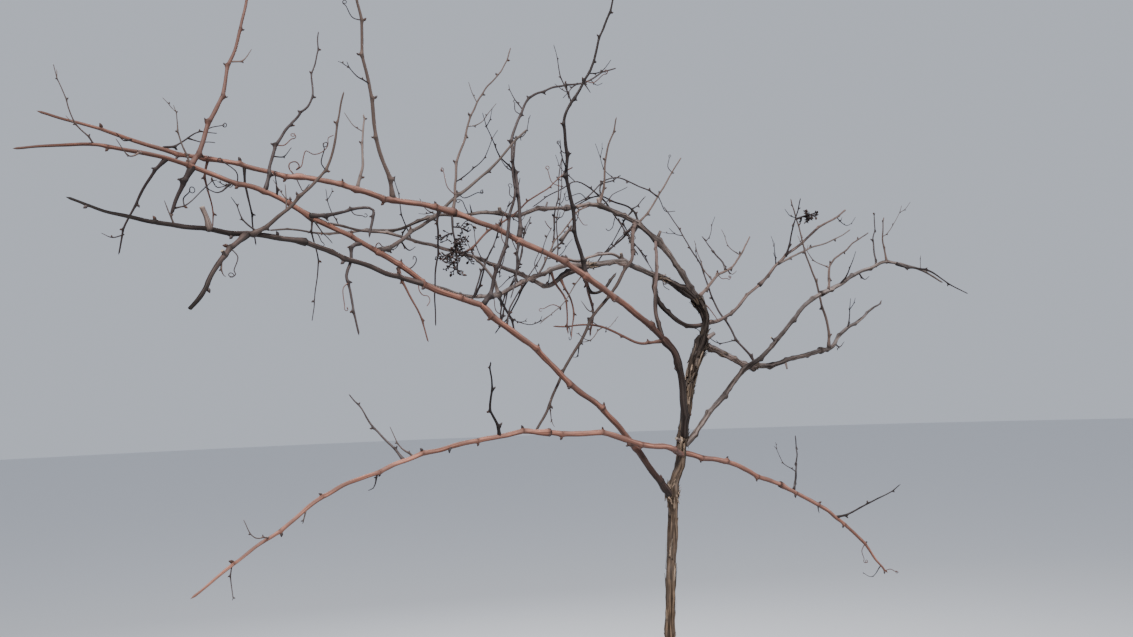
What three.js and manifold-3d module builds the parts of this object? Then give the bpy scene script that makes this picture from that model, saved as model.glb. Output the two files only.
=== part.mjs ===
// A bare grapevine in winter, unpruned: one slender leaning trunk, a knobbly head, old arms,
// long one-year canes that fan out along the row, and the twigs, tendrils and dried cluster
// stems that they carry.
// Millimetres. +X runs along the row, +Y across it, +Z up. The origin is the middle of the flat
// cut under the trunk, at ground level.

import * as THREE from "three";
import { mergeVertices } from "three/addons/utils/BufferGeometryUtils.js";
import Module from "manifold-3d";

// Driving sizes
const GAP = 0.3; // between a limb and what carries it
const CLEARANCE = 1.5; // between a fine twig and any limb that it passes
const HEAD_HEIGHT = 1505; // where the trunk forks
const TRUNK_LEAN = 182; // how far the fork stands along the row from the foot
const FOOT_RADIUS = 20; // root flare at the cut
const FLARE_HEIGHT = 120;
const FLARE_LOBES = 5;
const FLARE_CURVE = 2.2; // how steeply the flare widens towards the cut
const LOBE_DEPTH = 0.16; // of the radius, at the cut
const TRUNK_SIDES = 12;
const BOUGH_SIDES = 8;
const STEM_SIDES = 5;
const TWIG_SIDES = 3;
const TRUNK_STEP = 48; // between two rings of a solid
const BOUGH_STEP = 34;
const STEM_STEP = 44;
const SHOOT_STEP = 60;
const TWIG_STEP = 45;
const SPAN_PARTS = 40; // of a span between two named points, to measure it
const INTERNODE = 85; // between two buds of a cane
const LEAST_RADIUS = 1.2; // of a fine twig's tip
const UP = new THREE.Vector3(0, 0, 1);
const ACROSS = new THREE.Vector3(0, 1, 0); // the row's level crosswise direction
const BARK = { color: 0x6e5b4c, roughness: 0.95 };
const ARM = { color: 0x75614f, roughness: 0.9 };
const CANE = { color: 0x9c6347, roughness: 0.7 };
const TWIG = { color: 0x57443a, roughness: 0.85 };

// The trunk's axis, and its radius at even steps of its length
const TRUNK = {
  name: "trunk",
  look: BARK,
  points: [
    [0, 0, 0],
    [18, 0, 250],
    [42, 0, 600],
    [70, 0, 950],
    [90, 0, 1180],
    [94, 0, 1225],
    [114, 0, 1268],
    [124, 0, 1320],
    [152, 0, 1440],
    [TRUNK_LEAN, 0, HEAD_HEIGHT],
  ],
  radii: [11, 10.6, 10.3, 10, 9.8, 9.6, 9.4, 9.4, 9.6, 9.8, 9.9, 10.4, 14, 10.4, 9.8, 10.8, 13],
};

// Each bough is one tapering limb: what carries it, where it passes, and its radius at even steps
const BOUGHS = [
  {
    name: "head_arm",
    on: ["trunk"],
    look: BARK,
    radii: [9.2, 8, 12],
    points: [[184, 0, 1508], [199, 9, 1556], [189, 20, 1592]],
  },
  {
    name: "arch_arm_1",
    on: ["head_arm"],
    look: ARM,
    radii: [8, 6.4, 5.8, 5.8, 7.6, 5.4, 5.8],
    points: [[189, 24, 1590], [170, 40, 1645], [148, 50, 1684], [122, 58, 1713], [81, 62, 1746]],
  },
  {
    name: "arch_arm_2",
    on: ["arch_arm_1"],
    look: ARM,
    radii: [5.4, 5, 4.8, 5.6],
    points: [[81, 62, 1746], [42, 63, 1759], [-6, 65, 1777]],
  },
  {
    name: "arch_arm_3",
    on: ["arch_arm_2"],
    look: ARM,
    radii: [4.8, 3.8, 3.6, 4.6, 3.4, 3.8],
    points: [[-6, 65, 1777], [-82, 64, 1768], [-130, 63, 1761], [-184, 62, 1746], [-226, 61, 1746]],
  },
  {
    name: "middle_arm",
    on: ["head_arm", "arch_arm_1"],
    look: ARM,
    radii: [8, 7.4, 6.2, 5.6, 5.5, 5.4, 6.6],
    points: [[182, 18, 1592], [124, 25, 1627], [59, 25, 1648], [5, 25, 1661], [-74, 26, 1650]],
  },
  {
    name: "middle_fork_low",
    on: ["middle_arm"],
    look: ARM,
    radii: [5.2, 4.6, 4.2, 4.2],
    points: [[-74, 26, 1650], [-119, 22, 1647], [-180, 18, 1625], [-252, 24, 1591]],
  },
  {
    name: "middle_fork_high",
    on: ["middle_arm", "middle_fork_low"],
    look: ARM,
    radii: [5.4, 5, 4.4],
    points: [[-72, 28, 1647], [-112, 38, 1628], [-142, 42, 1613], [-172, 42, 1621]],
  },
  {
    name: "upper_cane_1",
    on: ["trunk"],
    look: CANE,
    radii: [7.6, 7.2, 7, 7.4],
    points: [[121, -8, 1324], [115, -17, 1377], [113, -19, 1430], [98, -21, 1484], [72, -22, 1507]],
  },
  {
    name: "upper_cane_2",
    on: ["upper_cane_1"],
    look: CANE,
    radii: [5.8, 6.3, 6.3, 6.6],
    points: [[72, -22, 1507], [-28, -26, 1580], [-104, -30, 1622]],
  },
  {
    name: "upper_cane_3",
    on: ["upper_cane_2"],
    look: CANE,
    radii: [6, 5.3, 5.6],
    points: [[-104, -30, 1622], [-156, -32, 1646], [-242, -35, 1678]],
  },
  {
    name: "upper_cane_4",
    on: ["upper_cane_3"],
    look: CANE,
    radii: [5.4, 4.8, 5.4],
    points: [[-242, -35, 1678], [-300, -37, 1699], [-364, -38, 1719]],
  },
  {
    name: "lower_cane_1",
    on: ["trunk"],
    look: CANE,
    radii: [7.8, 6.4, 5.8, 5.4, 5.4, 5.4, 5.8],
    points: [
      [86, -4, 1212], [38, -21, 1252], [-7, -27, 1310], [-101, -37, 1392], [-205, -47, 1470],
      [-330, -60, 1562],
    ],
  },
  {
    name: "lower_cane_2",
    on: ["lower_cane_1"],
    look: CANE,
    radii: [5.3, 4.9, 5.4],
    points: [[-330, -60, 1562], [-386, -63, 1574], [-438, -66, 1597]],
  },
  {
    name: "lower_cane_3",
    on: ["lower_cane_2"],
    look: CANE,
    radii: [5, 4.6, 5],
    points: [[-438, -66, 1597], [-476, -68, 1621], [-513, -70, 1641]],
  },
  {
    name: "lower_cane_4",
    on: ["lower_cane_3"],
    look: CANE,
    radii: [4.5, 4.1, 4.5],
    points: [[-513, -70, 1641], [-565, -72, 1666], [-618, -75, 1687]],
  },
  {
    name: "branch_cane",
    on: ["lower_cane_2", "lower_cane_3"],
    look: CANE,
    radii: [4.8, 4.2, 4.1, 4.4],
    points: [[-440, -68, 1594], [-499, -76, 1606], [-551, -80, 1626], [-633, -88, 1648]],
  },
  {
    name: "right_arm_1",
    on: ["trunk", "head_arm"],
    look: ARM,
    radii: [8, 6.6, 6.2, 7.2],
    points: [[186, 2, 1502], [239, 10, 1483], [298, 12, 1459], [334, 13, 1456]],
  },
  {
    name: "right_arm_2",
    on: ["right_arm_1"],
    look: ARM,
    radii: [6.2, 5.4, 5.2, 5.6],
    points: [[334, 13, 1456], [412, 16, 1463], [482, 19, 1480], [523, 20, 1487]],
  },
  {
    name: "right_cane",
    on: ["trunk"],
    look: ARM,
    radii: [6, 5.6, 5.2, 4.8, 5],
    points: [
      [126, -6, 1306], [181, -16, 1365], [246, -20, 1428], [312, -22, 1472], [364, -25, 1511],
      [421, -28, 1567], [484, -30, 1604],
    ],
  },
  {
    name: "cross_cane",
    on: ["middle_arm"],
    look: ARM,
    radii: [4.8, 5.2, 4.8, 3.7, 3.5],
    points: [
      [91, 24, 1640], [95, 25, 1585], [146, 27, 1549], [210, 30, 1540], [273, 26, 1563],
      [352, 14, 1624],
    ],
  },
  {
    name: "link_cane",
    on: ["upper_cane_1", "upper_cane_2", "arch_arm_1"],
    look: ARM,
    radii: [5.4, 4.2, 3.8, 3.5, 3.4],
    points: [
      [70, -22, 1504], [62, -12, 1560], [74, -3, 1628], [90, 14, 1671], [116, 50, 1704],
      [122, 58, 1713],
    ],
  },
  {
    name: "low_left_cane",
    on: ["trunk"],
    look: CANE,
    radii: [6.2, 5.5, 5.3, 5.1],
    points: [
      [116, -4, 1288], [60, -37, 1303], [-18, -50, 1319], [-100, -52, 1337], [-203, -50, 1346],
    ],
  },
  {
    name: "low_right_cane",
    on: ["trunk"],
    look: CANE,
    radii: [6.2, 5.5, 5.1, 4.9],
    points: [[122, 2, 1292], [233, 15, 1266], [309, 19, 1241], [390, 24, 1210]],
  },
];

// Each mass is one stem with its listed shoots, and fine twigs that a seeded rule adds.
// A shoot passes through its points from the stem to its tip, and tapers evenly.
const MASSES = [
  {
    name: "arch_end_twigs",
    on: ["arch_arm_3"],
    radii: [3.7, 2.8, 1.6],
    points: [
      [-226, 61, 1746], [-350, 61, 1731], [-421, 64, 1706], [-527, 68, 1695], [-640, 72, 1692],
    ],
    shoots: [],
    seed: 11,
  },
  {
    name: "arch_upright_twigs",
    on: ["arch_arm_2", "arch_arm_3"],
    radii: [2.9, 1.8],
    points: [[-6, 65, 1779], [-2, 56, 1806], [-4, 32, 1880], [5, 10, 1935]],
    shoots: [{ thick: [2.5, 1.5], points: [[-4, 66, 1786], [28, 106, 1824], [99, 140, 1860]] }],
    seed: 12,
  },
  {
    name: "arch_hanging_twigs",
    on: ["arch_arm_1", "arch_arm_2"],
    radii: [4, 3.6, 3],
    points: [
      [74, 60, 1746], [45, 30, 1700], [16, 3, 1652], [-45, -3, 1585], [-120, -15, 1493],
      [-175, -12, 1404], [-205, -10, 1350],
    ],
    shoots: [
      {
        thick: [2.6, 1.6],
        points: [[68, 55, 1740], [50, 66, 1716], [20, 96, 1690], [8, 112, 1658]],
      },
      { thick: [2.4, 1.6], points: [[62, 48, 1728], [60, 52, 1706], [70, 50, 1682]] },
    ],
    seed: 13,
  },
  {
    name: "arch_lateral_twigs",
    on: ["arch_arm_1", "arch_arm_2"],
    radii: [2.4, 2.2, 1.7],
    points: [[83, 60, 1746], [103, 52, 1773], [123, 45, 1799], [145, 31, 1843], [166, 20, 1877]],
    shoots: [
      {
        thick: [1.6, 1.8],
        points: [[123, 45, 1799], [87, 54, 1818], [41, 64, 1838], [3, 72, 1819], [-47, 84, 1780]],
      },
    ],
    seed: 31,
  },
  {
    name: "arch_loop_twigs",
    on: ["arch_arm_1", "arch_arm_2"],
    radii: [2.4, 2, 1.6],
    points: [[88, 63, 1742], [75, 71, 1775], [44, 76, 1787], [10, 85, 1799], [-40, 96, 1778]],
    shoots: [
      { thick: [1.6, 1.3], points: [[75, 71, 1775], [99, 81, 1790], [124, 90, 1808]] },
      {
        thick: [1.7, 1.4],
        points: [[10, 85, 1799], [-34, 102, 1830], [-65, 112, 1812], [-115, 130, 1779]],
      },
      {
        thick: [1.8, 1.4],
        points: [[10, 85, 1799], [34, 92, 1787], [60, 101, 1760], [108, 116, 1720], [154, 130, 1678]],
      },
    ],
    seed: 32,
  },
  {
    name: "middle_low_twigs",
    on: ["middle_fork_low"],
    radii: [4, 3.2, 2],
    points: [[-252, 24, 1591], [-283, 30, 1587], [-341, 35, 1596], [-410, 42, 1622]],
    shoots: [
      {
        thick: [3.2, 2.4],
        points: [[-254, 26, 1590], [-266, 16, 1610], [-290, 6, 1638], [-318, -2, 1652]],
      },
      { thick: [3, 2.2], points: [[-254, 26, 1590], [-234, 44, 1574], [-206, 60, 1530]] },
      { thick: [2, 1.3], points: [[-298, 31, 1588], [-288, 12, 1630], [-262, -12, 1716]] },
    ],
    seed: 14,
  },
  {
    name: "middle_high_twigs",
    on: ["middle_fork_high"],
    radii: [4.2, 3.2, 2.1],
    points: [
      [-172, 42, 1621], [-232, 38, 1639], [-318, 34, 1661], [-410, 32, 1681], [-504, 30, 1693],
      [-585, 30, 1704],
    ],
    shoots: [
      { thick: [2.5, 1.5], points: [[-320, 34, 1661], [-225, 30, 1734], [-75, 50, 1840]] },
      {
        thick: [2.4, 1.3],
        points: [[-176, 42, 1622], [-134, 52, 1664], [-92, 84, 1776], [-62, 104, 1878]],
      },
      { thick: [2.1, 1.3], points: [[-212, 40, 1632], [-192, 44, 1676], [-182, 50, 1722]] },
      { thick: [2.2, 1.4], points: [[-182, 42, 1624], [-208, 66, 1566], [-228, 90, 1529]] },
    ],
    seed: 15,
  },
  {
    name: "tall_shoot_twigs",
    on: ["upper_cane_2", "upper_cane_3", "middle_arm"],
    radii: [4.2, 3.8, 3.2, 2.7, 2.1, 1.7],
    points: [
      [-103, -27, 1626],
      [-124, -31, 1712],
      [-146, -45, 1823],
      [-149, -58, 1914],
      [-113, -67, 1973],
      [-85, -79, 2049],
      [-58, -92, 2140],
      [-20, -104, 2290],
    ],
    shoots: [],
    seed: 16,
  },
  {
    name: "under_cane_twigs",
    on: ["upper_cane_2", "upper_cane_3", "middle_arm"],
    radii: [3.3, 2.8, 2.1],
    points: [[-103, -27, 1622], [-72, 10, 1594], [-46, 41, 1555], [-38, 62, 1524]],
    shoots: [
      {
        thick: [3.4, 2.8],
        points: [[-96, -15, 1618], [-70, 2, 1596], [-38, 9, 1605], [-14, 12, 1632]],
      },
    ],
    seed: 33,
  },
  {
    name: "upright_shoot_twigs",
    on: ["upper_cane_3", "upper_cane_4"],
    radii: [3.9, 3.3, 2.8, 2.4, 1.8],
    points: [
      [-242, -35, 1682], [-237, -30, 1760], [-243, -21, 1816], [-219, -7, 1908], [-178, 2, 1960],
      [-80, 14, 1994], [20, 30, 2043],
    ],
    shoots: [],
    seed: 17,
  },
  {
    name: "front_lateral_twigs",
    on: ["upper_cane_3", "upper_cane_4"],
    radii: [2.6, 2, 1.4],
    points: [[-243, -37, 1676], [-257, -54, 1637], [-291, -90, 1573]],
    shoots: [],
    seed: 34,
  },
  {
    name: "upper_cane_end_twigs",
    on: ["upper_cane_4"],
    radii: [5.3, 4.9, 4.6, 4.2, 3.8, 3, 1.8],
    points: [
      [-364, -38, 1719], [-473, -41, 1734], [-579, -44, 1750], [-711, -47, 1763],
      [-825, -50, 1780], [-980, -54, 1812],
    ],
    shoots: [
      {
        thick: [2.7, 1.6],
        points: [
          [-368, -38, 1721], [-341, -6, 1813], [-268, 46, 1955], [-212, 70, 2013],
          [-176, 92, 2072],
        ],
      },
      {
        thick: [3.9, 1.9],
        points: [
          [-475, -41, 1734], [-516, -82, 1823], [-546, -122, 1924], [-572, -160, 2005],
          [-604, -196, 2150],
        ],
      },
      { thick: [2.9, 1.8], points: [[-536, -43, 1744], [-514, -14, 1806], [-501, 20, 1884]] },
      {
        thick: [2.1, 1.4],
        points: [[-394, -39, 1722], [-391, -22, 1660], [-389, -5, 1600], [-382, 10, 1536]],
      },
      { thick: [2.2, 1.4], points: [[-711, -47, 1763], [-704, -40, 1722], [-692, -30, 1652]] },
    ],
    clusters: [{ from: [-370, -38, 1718], middle: [-372, -52, 1658], size: 88, seed: 41 }],
    seed: 18,
  },
  {
    name: "red_lateral_twigs",
    on: ["upper_cane_1", "upper_cane_2", "link_cane"],
    radii: [3.2, 2.6, 1.8],
    points: [[68, -20, 1505], [32, -10, 1500], [-20, 8, 1524], [-60, 20, 1536], [-130, 40, 1537]],
    shoots: [],
    seed: 19,
  },
  {
    name: "dark_shoot_twigs",
    on: ["lower_cane_1", "lower_cane_2"],
    radii: [3.9, 3.5, 3, 2.2],
    points: [
      [-328, -61, 1563], [-306, -62, 1607], [-276, -60, 1690], [-258, -50, 1750],
      [-252, -40, 1801], [-240, -30, 1856],
    ],
    shoots: [],
    seed: 20,
  },
  {
    name: "slanting_shoot_twigs",
    on: ["lower_cane_3", "lower_cane_4"],
    radii: [4.2, 3.6, 3.2, 2.4],
    points: [
      [-512, -70, 1643], [-452, -36, 1672], [-398, -10, 1712], [-318, -34, 1779],
      [-246, -75, 1862],
    ],
    shoots: [],
    seed: 21,
  },
  {
    name: "lower_cane_end_twigs",
    on: ["lower_cane_4"],
    radii: [4.4, 4.1, 3.8, 3.3, 2.6, 1.7],
    points: [
      [-618, -75, 1687], [-689, -77, 1722], [-746, -78, 1737], [-826, -80, 1757],
      [-920, -84, 1768], [-1010, -90, 1752],
    ],
    shoots: [
      {
        thick: [3, 1.4],
        points: [
          [-689, -77, 1722], [-680, -72, 1760], [-648, -46, 1828], [-598, -6, 1884],
          [-584, 20, 1936], [-560, 60, 2030],
        ],
      },
      {
        thick: [3.9, 2],
        points: [
          [-795, -79, 1748], [-775, -75, 1790], [-741, -58, 1879], [-709, -38, 1993],
          [-665, -14, 2160],
        ],
      },
      {
        thick: [3.4, 2.6],
        points: [[-622, -78, 1690], [-572, -88, 1698], [-528, -94, 1704], [-534, -96, 1664]],
      },
      { thick: [2.7, 1.5], points: [[-826, -80, 1757], [-862, -50, 1700], [-880, -26, 1630]] },
    ],
    seed: 22,
  },
  {
    name: "branch_cane_end_twigs",
    on: ["branch_cane"],
    radii: [4.3, 4.1, 3.8, 2.8, 1.8],
    points: [
      [-633, -88, 1648], [-711, -96, 1653], [-783, -103, 1656], [-860, -112, 1660],
      [-950, -124, 1684],
    ],
    shoots: [
      {
        thick: [3.5, 1.6],
        points: [[-714, -97, 1653], [-661, -122, 1695], [-614, -150, 1764], [-602, -182, 1850]],
      },
      { thick: [4, 3.2], points: [[-722, -98, 1652], [-760, -116, 1610], [-806, -136, 1540]] },
    ],
    seed: 23,
  },
  {
    name: "right_arm_end_twigs",
    on: ["right_arm_2"],
    radii: [5.2, 4.5, 4, 3.2, 1.9],
    points: [[523, 20, 1487], [572, 29, 1498], [600, 35, 1520], [689, 53, 1560], [790, 76, 1606]],
    shoots: [
      {
        thick: [3.4, 1.6],
        points: [
          [556, 26, 1493], [538, 10, 1550], [499, -6, 1615], [430, -37, 1721], [386, -58, 1792],
        ],
      },
    ],
    clusters: [{ from: [409, -47, 1757], middle: [448, -42, 1768], size: 46, seed: 42 }],
    seed: 24,
  },
  {
    name: "thin_upright_twigs",
    on: ["right_arm_1", "right_arm_2"],
    radii: [2.8, 2.2, 1.5],
    points: [[332, 14, 1458], [310, 23, 1493], [276, 56, 1572], [252, 94, 1688], [208, 138, 1800]],
    shoots: [],
    seed: 25,
  },
  {
    name: "right_cane_end_twigs",
    on: ["right_cane"],
    radii: [4.9, 4.5, 3.9, 3.2, 2.1],
    points: [
      [484, -30, 1604], [560, -32, 1634], [625, -35, 1662], [690, -38, 1678], [770, -42, 1668],
      [850, -48, 1640],
    ],
    shoots: [
      {
        thick: [3.1, 1.7],
        points: [[505, -31, 1612], [538, -10, 1668], [612, 12, 1710], [712, 34, 1756]],
      },
      { thick: [2.5, 1.5], points: [[650, -36, 1668], [692, 2, 1736], [744, 40, 1806]] },
      { thick: [2.5, 1.5], points: [[684, -38, 1677], [668, -44, 1724], [655, -62, 1770]] },
      { thick: [2.8, 1.5], points: [[712, -40, 1676], [760, -90, 1652], [800, -150, 1600]] },
    ],
    seed: 26,
  },
  {
    name: "cross_cane_end_twigs",
    on: ["cross_cane"],
    radii: [3.4, 3.2, 2.8, 2.1],
    points: [
      [352, 14, 1624], [380, 9, 1652], [421, 3, 1686], [498, -12, 1743], [572, -30, 1788],
    ],
    shoots: [
      {
        thick: [2.7, 1.5],
        points: [[401, 6, 1670], [449, 2, 1691], [503, -3, 1709], [599, -12, 1749]],
      },
      { thick: [2.4, 1.4], points: [[421, 3, 1686], [409, -32, 1733], [386, -84, 1788]] },
    ],
    seed: 27,
  },
  {
    name: "head_spur_twigs",
    on: ["head_arm", "arch_arm_1"],
    radii: [3.8, 3, 2.2],
    points: [[194, 20, 1596], [243, 32, 1632], [291, 46, 1657], [348, 62, 1692], [400, 90, 1740]],
    shoots: [{ thick: [2.5, 1.5], points: [[291, 46, 1657], [312, 90, 1690], [318, 150, 1744]] }],
    seed: 28,
  },
  {
    name: "low_left_end_twigs",
    on: ["low_left_cane"],
    radii: [5, 4.4, 3.8, 3.1, 1.9],
    points: [
      [-203, -50, 1346], [-292, -50, 1346], [-430, -52, 1322], [-559, -54, 1286],
      [-675, -58, 1222], [-790, -66, 1150],
    ],
    shoots: [
      { thick: [2.8, 1.6], points: [[-300, -50, 1345], [-330, -84, 1400], [-352, -130, 1462]] },
      { thick: [2.6, 1.5], points: [[-470, -53, 1313], [-490, -10, 1352], [-520, 52, 1420]] },
    ],
    seed: 29,
  },
  {
    name: "low_right_end_twigs",
    on: ["low_right_cane"],
    radii: [4.8, 4.3, 3.7, 2.3],
    points: [[390, 24, 1210], [475, 30, 1172], [560, 36, 1126], [640, 42, 1066], [720, 50, 990]],
    shoots: [
      { thick: [2.8, 1.6], points: [[430, 27, 1194], [476, 64, 1236], [530, 116, 1300]] },
      { thick: [2.6, 1.5], points: [[560, 36, 1126], [604, 0, 1146], [664, -52, 1190]] },
    ],
    seed: 30,
  },
];

// The rule for fine twigs
const TWIG_RULE = {
  everyNode: INTERNODE * 0.75, // between two places where a twig may spring
  firstNode: 60, // the first one's distance from the carrier's foot
  lastNode: 15, // the last one's least distance from the carrier's tip
  chance: 0.42,
  reach: [30, 105], // least and greatest length
  favour: 1.6, // above 1, short twigs are commoner
  turn: 2.2, // radians over which twigs vary round their carrier
  spread: 0.95, // radians between a twig and its carrier
  elbow: 0.5, // where a twig starts to bend, of its length
  stretch: 0.92, // how far its tip stands out, of its length
  lift: 0.35, // how far its tip rises, of its length
  share: 0.55, // a foot's radius, of the carrier's
  thickest: 2.4, // radius of a foot
  room: 120, // how far twigs may stand beyond the stem and shoots
};

// The rule for a dried cluster. Lengths are shares of its size, or of a branch's length.
const CLUSTER_RULE = {
  branches: 8,
  turn: 2.4, // radians from one branch to the next
  top: -0.42, // of the first branch, along the stalk from the middle
  height: 0.85, // from the first branch to the last
  tail: 0.45, // of the stalk below the middle
  reach: 0.37,
  least: 0.65, // the shortest branch, of the longest
  narrowing: 0.45, // how much shorter the lowest branches are
  steepness: 0.9, // how far branches vary up and down
  rising: 0.4, // the share of them that point up
  elbow: 0.55,
  droop: 0.15,
  fork: 0.3,
  forkSpread: 0.7,
  stalkRadii: [2.6, 1.8, LEAST_RADIUS],
  branchRadii: [1.7, LEAST_RADIUS],
  forkRadii: [1.5, LEAST_RADIUS],
};

const wasm = await Module();
wasm.setup();

// A repeatable stream of numbers between 0 and 1
function seeded(seed) {
  let state = (seed * 7919) % 2147483647;
  return () => {
    state = (state * 16807) % 2147483647;
    return state / 2147483647;
  };
}

const vector = (p) => new THREE.Vector3(...p);
const curveOf = (limb) => new THREE.CatmullRomCurve3(limb.points.map(vector));

// The value at t, from 0 to 1, of a list of evenly spaced values
function along(values, t) {
  const place = t * (values.length - 1);
  const i = Math.min(Math.floor(place), values.length - 2);
  return values[i] + (values[i + 1] - values[i]) * (place - i);
}

// Rings stand at even steps of a limb's length, and the nearest one moves to each named point.
function ringPlaces(limb, curve, step) {
  const spans = limb.points.length - 1;
  const length = curve.getLength();
  const rings = Math.max(spans, Math.round(length / step));
  const places = Array.from({ length: rings + 1 }, (_, ring) => ring / rings);
  const lengths = curve.getLengths(spans * SPAN_PARTS);
  for (let k = 1; k < spans; k += 1) {
    const share = lengths[k * SPAN_PARTS] / length;
    places[Math.round(share * rings)] = share;
  }
  return places;
}

// A limb is a closed cylinder bent along its curve. A margin makes it fatter and longer all round.
function limbGeometry(limb, sides, step, margin = 0, shapeRing = null) {
  const curve = curveOf(limb);
  const places = ringPlaces(limb, curve, step);
  const rings = places.length - 1;
  const frames = curve.computeFrenetFrames(rings);
  const straight = new THREE.CylinderGeometry(1, 1, 1, sides, rings);
  straight.deleteAttribute("normal");
  straight.deleteAttribute("uv");
  const geometry = mergeVertices(straight);
  const position = geometry.getAttribute("position");
  for (let i = 0; i < position.count; i += 1) {
    const ring = Math.round((0.5 - position.getY(i)) * rings);
    const t = places[ring];
    const tangent = curve.getTangentAt(t);
    const normal = frames.normals[ring].clone().projectOnPlane(tangent).normalize();
    const binormal = new THREE.Vector3().crossVectors(tangent, normal);
    const radius = along(limb.radii, t) + margin;
    const place = curve.getPointAt(t);
    const end = ring === 0 ? -margin : ring === rings ? margin : 0;
    place.addScaledVector(tangent, end);
    const across = normal.multiplyScalar(position.getX(i) * radius);
    across.addScaledVector(binormal, position.getZ(i) * radius);
    if (shapeRing) shapeRing(across, place, margin);
    place.add(across);
    position.setXYZ(i, place.x, place.y, place.z);
  }
  return geometry;
}

// The root flare widens the trunk in a few lobes near the ground, and its cut lies flat.
function rootFlare(across, place, margin) {
  const height = Math.max(place.z, 0);
  const rise = Math.max(0, 1 - height / FLARE_HEIGHT);
  const angle = Math.atan2(across.y, across.x);
  const widening = (FOOT_RADIUS - TRUNK.radii[0]) * rise ** FLARE_CURVE;
  const lobes = 1 + LOBE_DEPTH * rise * Math.cos(FLARE_LOBES * angle);
  const radius = across.length();
  if (radius > 0) across.multiplyScalar(((radius + widening) * lobes) / radius);
  if (height <= margin) {
    across.z = 0;
    place.z = 0;
  }
}

function solidOf(geometry) {
  return new wasm.Manifold(
    new wasm.Mesh({
      numProp: 3,
      vertProperties: geometry.getAttribute("position").array,
      triVerts: new Uint32Array(geometry.index.array),
    }),
  );
}

function meshOf(solid, name, look) {
  const made = solid.getMesh();
  const corners = new Float32Array(made.numVert * 3);
  for (let i = 0; i < made.numVert; i += 1) {
    const first = i * made.numProp;
    corners.set(made.vertProperties.subarray(first, first + 3), i * 3);
  }
  const geometry = new THREE.BufferGeometry();
  geometry.setAttribute("position", new THREE.BufferAttribute(corners, 3));
  geometry.setIndex(new THREE.BufferAttribute(made.triVerts, 1));
  geometry.computeVertexNormals();
  const material = new THREE.MeshStandardMaterial({ ...look, metalness: 0 });
  const mesh = new THREE.Mesh(geometry, material);
  mesh.name = name;
  return mesh;
}

// The largest body of a solid, without the scraps that a cut may leave
function largest(solid) {
  const bodies = solid.decompose();
  return bodies.reduce((a, b) => (b.volume() > a.volume() ? b : a));
}

// A limb's axis as short straight pieces with their radius, for the clearance test
function piecesOf(limb, step) {
  const curve = curveOf(limb);
  const count = Math.max(2, Math.round(curve.getLength() / step));
  const places = curve.getSpacedPoints(count);
  return places.slice(1).map((to, i) => {
    const radius = along(limb.radii, (i + 0.5) / count);
    return { from: places[i], to, radius };
  });
}

// The least distance between two straight pieces
function distanceBetween(a, b) {
  const u = a.to.clone().sub(a.from);
  const v = b.to.clone().sub(b.from);
  const w = a.from.clone().sub(b.from);
  const uu = u.dot(u);
  const uv = u.dot(v);
  const vv = v.dot(v);
  const uw = u.dot(w);
  const vw = v.dot(w);
  const spread = uu * vv - uv * uv;
  const clamp = THREE.MathUtils.clamp;
  let s = spread > 1e-9 ? clamp((uv * vw - vv * uw) / spread, 0, 1) : 0;
  const t = clamp((uv * s + vw) / vv, 0, 1);
  s = clamp((uv * t - uw) / uu, 0, 1);
  return w.addScaledVector(u, s).addScaledVector(v, -t).length();
}

function isClear(pieces, others) {
  return pieces.every((a) =>
    others.every((b) => distanceBetween(a, b) > a.radius + b.radius + CLEARANCE),
  );
}

// Fine twigs spring at even steps along a carrier, from alternate sides, and bend upwards.
function twigsAlong(carrier, random) {
  const rule = TWIG_RULE;
  const curve = curveOf(carrier);
  const length = curve.getLength();
  const twigs = [];
  let side = random() < 0.5 ? 1 : -1;
  for (let s = rule.firstNode; s < length - rule.lastNode; s += rule.everyNode) {
    const t = s / length;
    const [least, most] = rule.reach;
    const turn = (random() - 0.5) * rule.turn;
    const reach = least + (most - least) * random() ** rule.favour;
    const grows = random() < rule.chance;
    side = -side;
    if (!grows) continue;
    const axis = curve.getTangentAt(t);
    const out = new THREE.Vector3().crossVectors(axis, ACROSS).normalize();
    out.multiplyScalar(side).applyAxisAngle(axis, turn);
    const heading = axis.clone().multiplyScalar(Math.cos(rule.spread));
    heading.addScaledVector(out, Math.sin(rule.spread));
    const foot = curve.getPointAt(t);
    const elbow = foot.clone().addScaledVector(heading, reach * rule.elbow);
    const tip = foot.clone().addScaledVector(heading, reach * rule.stretch);
    tip.z += reach * rule.lift;
    const thick = Math.min(along(carrier.radii, t) * rule.share, rule.thickest);
    twigs.push({
      points: [foot, elbow, tip].map((p) => p.toArray()),
      radii: [Math.max(thick, LEAST_RADIUS), LEAST_RADIUS],
    });
  }
  return twigs;
}

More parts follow.
